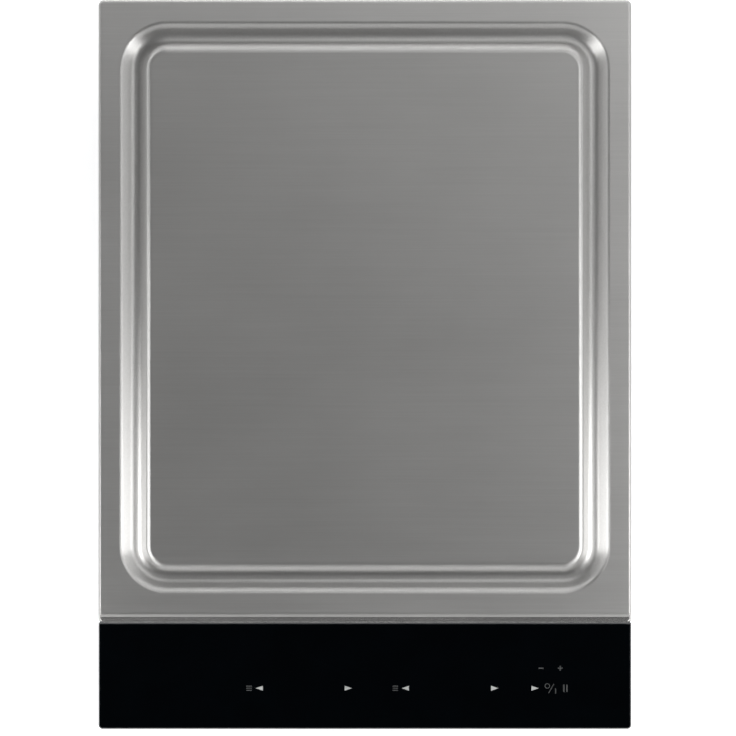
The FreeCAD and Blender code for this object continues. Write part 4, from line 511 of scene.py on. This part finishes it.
class COOKTOP_OT_plate(bpy.types.Operator):
    """Draw the griddle plate: rim, slanted lip, skirt and gutter"""

    bl_idname = "cooktop.plate"
    bl_label = "Griddle plate"

    def execute(self, context):
        look = context.scene.cooktop_plate
        bm = bmesh.new()
        self.bend_line = PLATE_LOW.y + look.lip_width
        self.press_gutter(bm, look)
        self.lay_rim(bm, look)
        self.fold_lip(bm, look)
        self.turn_skirt(bm, look)
        plate = new_piece("griddle_plate", bm, PLATE_FINISHES[RIM], smooth=35)
        for finish in PLATE_FINISHES[COOKING:]:
            plate.data.materials.append(finish_of(finish))
        wall = plate.modifiers.new("sheet", "SOLIDIFY")
        wall.thickness = look.sheet
        wall.offset = -1
        shading = plate.modifiers.new("flat_faces", "WEIGHTED_NORMAL")
        shading.keep_sharp = True
        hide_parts("teppan_plate")
        return {"FINISHED"}

    def outline(self, bm, inset):
        """A flat face as large as the rim, or smaller by an inset, at the height of the rim."""
        half = PLATE_HIGH.x - inset
        deep = (PLATE_HIGH.y - self.bend_line) / 2 - inset
        verts = bmesh.ops.create_grid(bm, x_segments=1, y_segments=1, size=1.0)["verts"]
        bmesh.ops.scale(bm, vec=(half, deep, 1), verts=verts)
        bmesh.ops.translate(bm, vec=(0, (PLATE_HIGH.y + self.bend_line) / 2, PLATE_HIGH.z), verts=verts)
        return verts

    def round_corners(self, bm, verts, radius, segments):
        bmesh.ops.bevel(bm, geom=verts, offset=radius, offset_type="OFFSET", segments=segments, profile=0.5,
                        affect="VERTICES", material=-1)

    def round_edges(self, bm, edges, offset, segments):
        bmesh.ops.bevel(bm, geom=edges, offset=offset, offset_type="OFFSET", segments=segments, profile=0.5,
                        affect="EDGES", material=-1)

    def press_gutter(self, bm, look):
        """Step inwards from the rim: down the outer slope, across the floor, up to the cooking surface."""
        rise = look.gutter_depth - look.cooking_drop
        down = math.atan2(look.gutter_depth, look.outer_run)
        up = math.atan2(rise, look.inner_run)
        edge = look.outer_bend * math.tan(down / 2)
        floor = look.gutter_width - look.outer_run - look.inner_run
        floor -= look.floor_radius * (math.tan(down / 2) + math.tan(up / 2))
        descent = self.slope(look, look.outer_bend, look.outer_run, look.gutter_depth, down)
        climb = self.slope(look, look.bend_radius, look.inner_run, rise, up)
        climb = [(run, -drop) for run, drop in reversed(climb)]
        self.round_corners(bm, self.outline(bm, look.rim_width - edge), look.corner_radius + edge,
                           GUTTER_CORNER_STEPS)
        surface = bm.faces[:]
        surface[0].material_index = GUTTER
        last_bend = len(descent) + 1 + len(climb) - BEND_STEPS
        for step, (run, drop) in enumerate(descent + [(floor, 0.0)] + climb):
            if step == last_bend:
                surface[0].material_index = COOKING
            bmesh.ops.inset_region(bm, faces=surface, thickness=run, depth=drop, use_even_offset=True,
                                   use_boundary=True)

    def slope(self, look, bend, run, drop, angle):
        """A rounded edge, a straight slope and a rounded foot."""
        edge = arc_steps(bend, angle, BEND_STEPS)
        foot = list(reversed(arc_steps(look.floor_radius, angle, BEND_STEPS)))
        length = math.hypot(run, drop) - (bend + look.floor_radius) * math.tan(angle / 2)
        return edge + [(length * math.cos(angle), -length * math.sin(angle))] + foot

    def lay_rim(self, bm, look):
        """The flat rim between the gutter and the outer edge."""
        gutter = [edge for edge in bm.edges if edge.is_boundary]
        pressed = set(bm.faces)
        corners = self.outline(bm, 0.0)
        self.round_corners(bm, [vert for vert in corners if vert.co.y > 0], look.plate_corner,
                           PLATE_CORNER_STEPS)
        rim = [face for face in bm.faces if face not in pressed]
        border = look.edge_radius * 1.5
        bmesh.ops.inset_region(bm, faces=rim, thickness=border, use_even_offset=True, use_boundary=True)
        middle = rim[0].edges[:]
        bmesh.ops.delete(bm, geom=rim, context="FACES_ONLY")
        bmesh.ops.triangle_fill(bm, edges=gutter + middle, use_beauty=True, normal=(0, 0, 1))

    def along_bend(self, bm, reach):
        """The edges that lie on the line between rim and lip, or within reach of it."""
        return [edge for edge in bm.edges
                if all(abs(vert.co.y - self.bend_line) < reach for vert in edge.verts)]

    def fold_lip(self, bm, look):
        """The strip that slants down from the rim to the glass."""
        fold = self.along_bend(bm, TOUCHING)
        folded = bmesh.ops.extrude_edge_only(bm, edges=fold)["geom"]
        tip = only(BMVert, folded)
        bmesh.ops.translate(bm, vec=(0, -look.lip_width, -look.lip_drop), verts=tip)
        self.round_corners(bm, tip, look.lip_corner, LIP_STEPS)

    def turn_skirt(self, bm, look):
        """Turn the outer edge down to the frame, round its top and soften the bend of the lip."""
        border = [edge for edge in bm.edges if edge.is_boundary]
        turned = bmesh.ops.extrude_edge_only(bm, edges=border)["geom"]
        for vert in only(BMVert, turned):
            vert.co.z = FRAME_TOP
        bmesh.ops.recalc_face_normals(bm, faces=bm.faces)
        self.round_edges(bm, border, look.edge_radius, LIP_STEPS)
        self.sharpen_lip(bm, look)
        slant = math.atan2(look.lip_drop, look.lip_width)
        fold = [edge for edge in self.along_bend(bm, 1 * MM)
                if len(edge.link_faces) == 2 and edge.calc_face_angle() > slant / 4]
        self.round_edges(bm, fold, look.lip_bend * math.tan(slant / 2), LIP_STEPS)
        for face in bm.faces:
            on_lip = face.calc_center_median().y < self.bend_line
            if on_lip and STEEP < face.normal.z < math.cos(slant) + SLACK:
                face.material_index = LIP
            elif face.normal.z < LEVEL and face.material_index == RIM:
                face.material_index = EDGE

    def sharpen_lip(self, bm, look):
        """Draw the rounding of the lip's lower edge together."""
        tip = Vector((0, PLATE_LOW.y, PLATE_HIGH.z - look.lip_drop))
        reach = PLATE_HIGH.x - look.lip_corner + 0.1 * MM
        rounding = [vert for vert in bm.verts if vert.co.y < tip.y + look.edge_radius
                    and vert.co.z > FRAME_TOP + look.sheet and abs(vert.co.x) < reach]
        sharper = look.lip_edge / look.edge_radius
        bmesh.ops.scale(bm, vec=(1, sharper, sharper), space=Matrix.Translation(-tip), verts=rounding)


RIM_PIECES = ("control_glass", "glass_adhesive", "top_frame", "worktop_seal", "support_rails",
              "heat_spreader_core", "induction_base_sheet", "insulation_mat", "mica_sheets", "teppan_plate")


class COOKTOP_OT_rim(bpy.types.Operator):
    """Finish the glass, the frame, the seal and the layers under the plate"""

    bl_idname = "cooktop.rim"
    bl_label = "Glass and rim"

    def execute(self, context):
        for name in RIM_PIECES:
            paint(name)
        soften("control_glass", GLASS_ARRIS)
        return {"FINISHED"}


# Places of the touch signs, in millimetres
LOWER_ROW, UPPER_ROW = -230.9, -216.6
ARROWS = ((-75.4, -1), (-11.8, 1), (28.8, -1), (92.6, 1), (121.4, 1))  # x, and the way it points
STACKS = (-82.7, 21.7)
STACK_LINES = (-1.5, 0.0, 1.5)
MINUS, PLUS = 125.6, 139.3
PAUSE_BARS = (141.9, 144.1)
RING, SLASH, STROKE = (130.1, 1.6), (132.9, -0.2), (136.0, -2.0)  # on/off sign: x, and y from the row


class COOKTOP_OT_signs(bpy.types.Operator):
    """Print the touch signs on the glass"""

    bl_idname = "cooktop.signs"
    bl_label = "Touch signs"

    def execute(self, context):
        look = context.scene.cooktop_glass
        self.low = GLASS_HIGH.z + 5 * MICRON
        self.thick = look.ink_height
        self.print_arrows()
        self.print_lines()
        return {"FINISHED"}

    def print_arrows(self):
        bm = bmesh.new()
        for x, way in ARROWS:
            self.arrow(bm, x, LOWER_ROW, way)
        self.print_on("arrow_signs", bm, "bright_print")

    def print_lines(self):
        """The stacks of lines, minus, plus, pause and on/off signs."""
        bm = bmesh.new()
        for x in STACKS:
            for line in STACK_LINES:
                self.bar(bm, x, LOWER_ROW + line, width=3.8, height=0.7)
        self.bar(bm, MINUS, UPPER_ROW, width=3.6, height=0.9)
        self.cross(bm, PLUS, UPPER_ROW, length=3.4, line=0.9)
        for x in PAUSE_BARS:
            self.bar(bm, x, LOWER_ROW, width=1.0, height=5.2)
        self.ring(bm, RING[0], LOWER_ROW + RING[1], radius=1.9, line=0.55)
        self.bar(bm, SLASH[0], LOWER_ROW + SLASH[1], width=0.6, height=7.6, turn=-30)
        self.bar(bm, STROKE[0], LOWER_ROW + STROKE[1], width=0.7, height=3.6)
        self.print_on("line_signs", bm, "faint_print")

    def print_on(self, name, bm, slot):
        bmesh.ops.translate(bm, vec=(0, 0, self.low), verts=bm.verts)
        bmesh.ops.recalc_face_normals(bm, faces=bm.faces)
        new_piece(name, bm, slot)

    def lay(self, bm, made, x, y, turn=0.0):
        """Thicken a flat shape and put it in its place."""
        faces = only(BMFace, made)
        top = only(BMVert, bmesh.ops.extrude_face_region(bm, geom=faces)["geom"])
        bmesh.ops.translate(bm, vec=(0, 0, self.thick), verts=top)
        every = list({vert for face in faces for vert in face.verts} | set(top))
        self.turn(bm, every, turn)
        bmesh.ops.translate(bm, vec=(x * MM, y * MM, 0), verts=every)

    def turn(self, bm, verts, degrees):
        matrix = Matrix.Rotation(math.radians(degrees), 3, "Z")
        bmesh.ops.rotate(bm, cent=(0, 0, 0), matrix=matrix, verts=verts)

    def bar(self, bm, x, y, width, height, turn=0.0):
        made = bmesh.ops.create_grid(bm, x_segments=1, y_segments=1, size=0.5)["verts"]
        bmesh.ops.scale(bm, vec=(width * MM, height * MM, 1), verts=made)
        self.lay(bm, faces_round(made), x, y, turn)

    def cross(self, bm, x, y, length, line):
        """A plus sign drawn as one shape: a square with an arm pulled out of each edge."""
        made = bmesh.ops.create_grid(bm, x_segments=1, y_segments=1, size=line / 2 * MM)["verts"]
        middle = faces_round(made)
        arms = []
        for edge in middle[0].edges[:]:
            out = (edge.verts[0].co + edge.verts[1].co).normalized() * (length - line) / 2 * MM
            pulled = bmesh.ops.extrude_edge_only(bm, edges=[edge])["geom"]
            bmesh.ops.translate(bm, vec=out, verts=only(BMVert, pulled))
            arms += only(BMFace, pulled)
        bmesh.ops.recalc_face_normals(bm, faces=middle + arms)
        self.lay(bm, middle + arms, x, y)

    def arrow(self, bm, x, y, way):
        """A flat pointer, drawn as a stretched triangle about its middle."""
        length, half_height, shift = 3.5, 2.0, 0.87
        made = bmesh.ops.create_circle(bm, cap_ends=True, segments=3, radius=1.0)["verts"]
        self.turn(bm, made, -90 * way)
        bmesh.ops.scale(bm, vec=(length * MM, half_height * MM, 1), verts=made)
        self.lay(bm, faces_round(made), x - way * shift, y)

    def ring(self, bm, x, y, radius, line):
        made = bmesh.ops.create_circle(bm, cap_ends=True, segments=28, radius=radius * MM)["verts"]
        disc = faces_round(made)
        drawn = bmesh.ops.inset_region(bm, faces=disc, thickness=line * MM, use_even_offset=True,
                                       use_boundary=True)
        bmesh.ops.delete(bm, geom=disc, context="FACES_ONLY")
        self.lay(bm, drawn["faces"], x, y)


CLAMPS = tuple(name for name in NODES if name.startswith("clamp_"))
TERMINALS = tuple(name for name in NODES if name.startswith("terminal_"))
CASING_PIECES = CLAMPS + TERMINALS + (
    "lower_casing", "casing_flange", "frame_screws", "cable_grommet", "earth_screw")


class COOKTOP_OT_casing(bpy.types.Operator):
    """Finish the casing, its screws, the clamps and the terminal box"""

    bl_idname = "cooktop.casing"
    bl_label = "Casing and clamps"

    def execute(self, context):
        for name in CASING_PIECES:
            paint(name)
        for name in CLAMPS + ("terminal_box", "terminal_lid"):
            soften(name, SHEET_EDGE)
        return {"FINISHED"}


class COOKTOP_OT_works(bpy.types.Operator):
    """Finish the fan, the coils, the sensors and the electronics inside"""

    bl_idname = "cooktop.works"
    bl_label = "Inner works"

    def execute(self, context):
        for name in NODES:
            if name not in RIM_PIECES + CASING_PIECES:
                paint(name)
        for name in ("fan_frame", "air_duct", "film_capacitors", "heat_sink"):
            soften(name, MOULDED_EDGE)
        for joint in frame["record"]["behaviour"]["joints"]:
            for spring in joint.get("deforming_nodes", ()):
                self.wind_spring(joint, spring["node"], spring["fixed_end_z_m"])
        return {"FINISHED"}

    def wind_spring(self, joint, name, foot):
        """A spring under a sensor: a copy of the CAD spring with its doubles merged, which stands in its
        place.
        """
        bm = bmesh.new()
        bm.from_mesh(NODES[name].data)
        bmesh.ops.remove_doubles(bm, verts=bm.verts, dist=TOUCHING)
        coil = new_piece(name.replace("sensor", "contact"), bm, SLOT_OF[name])
        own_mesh(coil)
        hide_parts(name)


# Studio

FLOOR_REACH = 6.0
FLOOR_GAP = 0.5 * MM
VIEW_MIDDLE = (2.2 * MM, -2.5 * MM)


class COOKTOP_OT_stage(bpy.types.Operator):
    """Lay the floor and set the lamps, the world and the camera"""

    bl_idname = "cooktop.stage"
    bl_label = "Studio"

    def execute(self, context):
        look = context.scene.cooktop_stage
        self.lay_floor(look)
        self.hang_lamps(look)
        self.light_world(context.scene)
        self.set_camera(context.scene, look)
        context.scene.view_settings.view_transform = "Standard"
        return {"FINISHED"}

    def lay_floor(self, look):
        bm = bmesh.new()
        bmesh.ops.create_grid(bm, x_segments=1, y_segments=1, size=FLOOR_REACH)
        bmesh.ops.translate(bm, vec=(0, 0, CAD_BOX[0][2] - FLOOR_GAP), verts=bm.verts)
        mesh = bpy.data.meshes.new("studio_floor")
        bm.to_mesh(mesh)
        bm.free()
        floor = bpy.data.objects.new("studio_floor", mesh)
        bpy.context.scene.collection.objects.link(floor)
        mesh.materials.append(self.floor_material(look))

    def floor_material(self, look):
        """A pale floor, lifted to white as seen directly, in reflections and through glass.

        It keeps the object's shadow near by and runs out into the white backdrop far off. It is clear from
        below.
        """
        material = bpy.data.materials.new("pale_floor")
        material.use_nodes = True
        tree = material.node_tree
        tree.nodes.clear()
        matt = add_node(tree, "ShaderNodeBsdfDiffuse", {"Color": (*look.floor, 1)}).outputs[0]
        place = add_node(tree, "ShaderNodeTexCoord").outputs["Object"]
        away = add_node(tree, "ShaderNodeVectorMath", {0: place}, operation="LENGTH").outputs["Value"]
        reach = {"Value": away, "From Min": look.floor_near, "From Max": look.floor_far,
                 "To Min": look.floor_glow, "To Max": 1.0}
        lift = add_node(tree, "ShaderNodeMapRange", reach, interpolation_type="SMOOTHSTEP").outputs["Result"]
        glow = add_node(tree, "ShaderNodeEmission", {"Strength": lift}).outputs[0]
        white = add_node(tree, "ShaderNodeAddShader", {0: matt, 1: glow}).outputs[0]
        path = add_node(tree, "ShaderNodeLightPath").outputs
        seen = arithmetic(tree, "MAXIMUM", path["Is Camera Ray"], self.mirrored(tree, path))
        upper = add_node(tree, "ShaderNodeMixShader", {0: seen, 1: matt, 2: white}).outputs[0]
        below = add_node(tree, "ShaderNodeNewGeometry").outputs["Backfacing"]
        clear = add_node(tree, "ShaderNodeBsdfTransparent").outputs[0]
        surface = add_node(tree, "ShaderNodeMixShader", {0: below, 1: upper, 2: clear}).outputs[0]
        add_node(tree, "ShaderNodeOutputMaterial", {"Surface": surface})
        return material

    def mirrored(self, tree, path):
        """One where a ray comes by way of metal or glass."""
        return arithmetic(tree, "MAXIMUM", path["Is Glossy Ray"], path["Is Transmission Ray"])

    def hang_lamps(self, look):
        """Softboxes overhead and small cards close round the object."""
        lamps = {  # place, aim, width, height, power
            "main_softbox": ((0.45, 1.15, 2.3), (0, 0.05, 0), 1.8, 1.1, look.main_power),
            "right_softbox": ((0.8, 0.1, 1.2), (0.1, 0.05, 0), 0.9, 0.5, look.right_power),
            "front_softbox": ((0.1, -0.85, 2.4), (0, -0.1, 0), 1.4, 0.4, look.front_power),
            "left_card": ((-0.52, -0.2, 0.38), (-0.165, -0.12, 0), 0.3, 0.35, look.card_power),
            "right_card": ((0.52, -0.2, 0.38), (0.165, -0.12, 0), 0.3, 0.35, look.card_power),
            "front_card": ((0, -0.42, 0.09), (0, -0.15, 0.03), 0.8, 0.05, look.front_card_power),
            "rear_card": ((0, 0.45, 0.05), (0, 0, 0.03), 0.9, 0.08, look.rear_card_power),
        }
        for name, lamp in lamps.items():
            self.softbox(name, *lamp)

    def softbox(self, name, place, aim, width, height, power):
        lamp = bpy.data.lights.new(name, "AREA")
        lamp.shape = "RECTANGLE"
        lamp.size = width
        lamp.size_y = height
        lamp.energy = power
        item = bpy.data.objects.new(name, lamp)
        item.location = place
        item.rotation_euler = (Vector(aim) - Vector(place)).to_track_quat("-Z", "Y").to_euler()
        item.visible_camera = False
        bpy.context.scene.collection.objects.link(item)

    def light_world(self, scene):
        """White as seen directly and low down in metal and glass, with a soft dome that is dark overhead."""
        world = bpy.data.worlds.new("studio")
        scene.world = world
        world.use_nodes = True
        tree = world.node_tree
        place = add_node(tree, "ShaderNodeTexCoord").outputs["Generated"]
        axes = add_node(tree, "ShaderNodeSeparateXYZ", {"Vector": place}).outputs
        dome = self.ramp(tree, axes["Z"], ((0.45, 1.0), (0.55, 0.08), (0.96, 0.08), (0.985, 0.012)))
        ends = self.ramp(tree, arithmetic(tree, "ABSOLUTE", axes["Y"]), ((0.55, 1.0), (0.8, 0.37)))
        light = arithmetic(tree, "MULTIPLY", dome, ends)
        path = add_node(tree, "ShaderNodeLightPath").outputs
        low = self.ramp(tree, axes["Z"], ((0.1, 1.0), (0.18, 0.0)))
        backdrop = arithmetic(tree, "MULTIPLY", low, self.mirrored(tree, path))
        seen = arithmetic(tree, "MAXIMUM", backdrop, path["Is Camera Ray"])
        tree.links.new(arithmetic(tree, "MAXIMUM", light, seen), tree.nodes["Background"].inputs["Color"])

    def ramp(self, tree, value, stops):
        """A run of grey levels over a value."""
        node = add_node(tree, "ShaderNodeValToRGB", {"Fac": value})
        marks = node.color_ramp.elements
        marks[0].position, marks[1].position = stops[0][0], stops[-1][0]
        for place, _ in stops[1:-1]:
            marks.new(place)
        for mark, (_, level) in zip(marks, stops):
            mark.color = (level, level, level, 1)
        return node.outputs["Color"]

    def set_camera(self, scene, look):
        lens = bpy.data.cameras.new("overhead")
        lens.lens = look.lens
        lens.sensor_width = 36.0
        lens.clip_end = 50.0
        item = bpy.data.objects.new("overhead", lens)
        item.location = (*VIEW_MIDDLE, PLATE_HIGH.z + look.camera_height)
        item.rotation_euler = (0, 0, 0)
        scene.collection.objects.link(item)
        scene.camera = item


class COOKTOP_PT_panel(bpy.types.Panel):
    """Lists the steps that dress the cooktop"""

    bl_idname = "COOKTOP_PT_panel"
    bl_label = "Griddle cooktop"
    bl_space_type = "VIEW_3D"
    bl_region_type = "UI"
    bl_category = "Cooktop"

    def draw(self, context):
        for operator in STEPS:
            self.layout.operator(operator.bl_idname)


STEPS = (COOKTOP_OT_finishes, COOKTOP_OT_plate, COOKTOP_OT_rim, COOKTOP_OT_signs, COOKTOP_OT_casing,
         COOKTOP_OT_works, COOKTOP_OT_stage)
SETTINGS = {"cooktop_plate": PlateSettings, "cooktop_glass": GlassSettings, "cooktop_stage": StageSettings}


def register():
    for name, group in SETTINGS.items():
        bpy.utils.register_class(group)
        setattr(bpy.types.Scene, name, PointerProperty(type=group))
    for item in STEPS + (COOKTOP_PT_panel,):
        bpy.utils.register_class(item)


def unregister():
    for item in reversed(STEPS + (COOKTOP_PT_panel,)):
        bpy.utils.unregister_class(item)
    for name, group in SETTINGS.items():
        delattr(bpy.types.Scene, name)
        bpy.utils.unregister_class(group)


def main():
    register()
    bpy.ops.cooktop.finishes()
    bpy.ops.cooktop.plate()
    bpy.ops.cooktop.rim()
    bpy.ops.cooktop.signs()
    bpy.ops.cooktop.casing()
    bpy.ops.cooktop.works()
    bpy.ops.cooktop.stage()


if __name__ == "__main__":
    main()
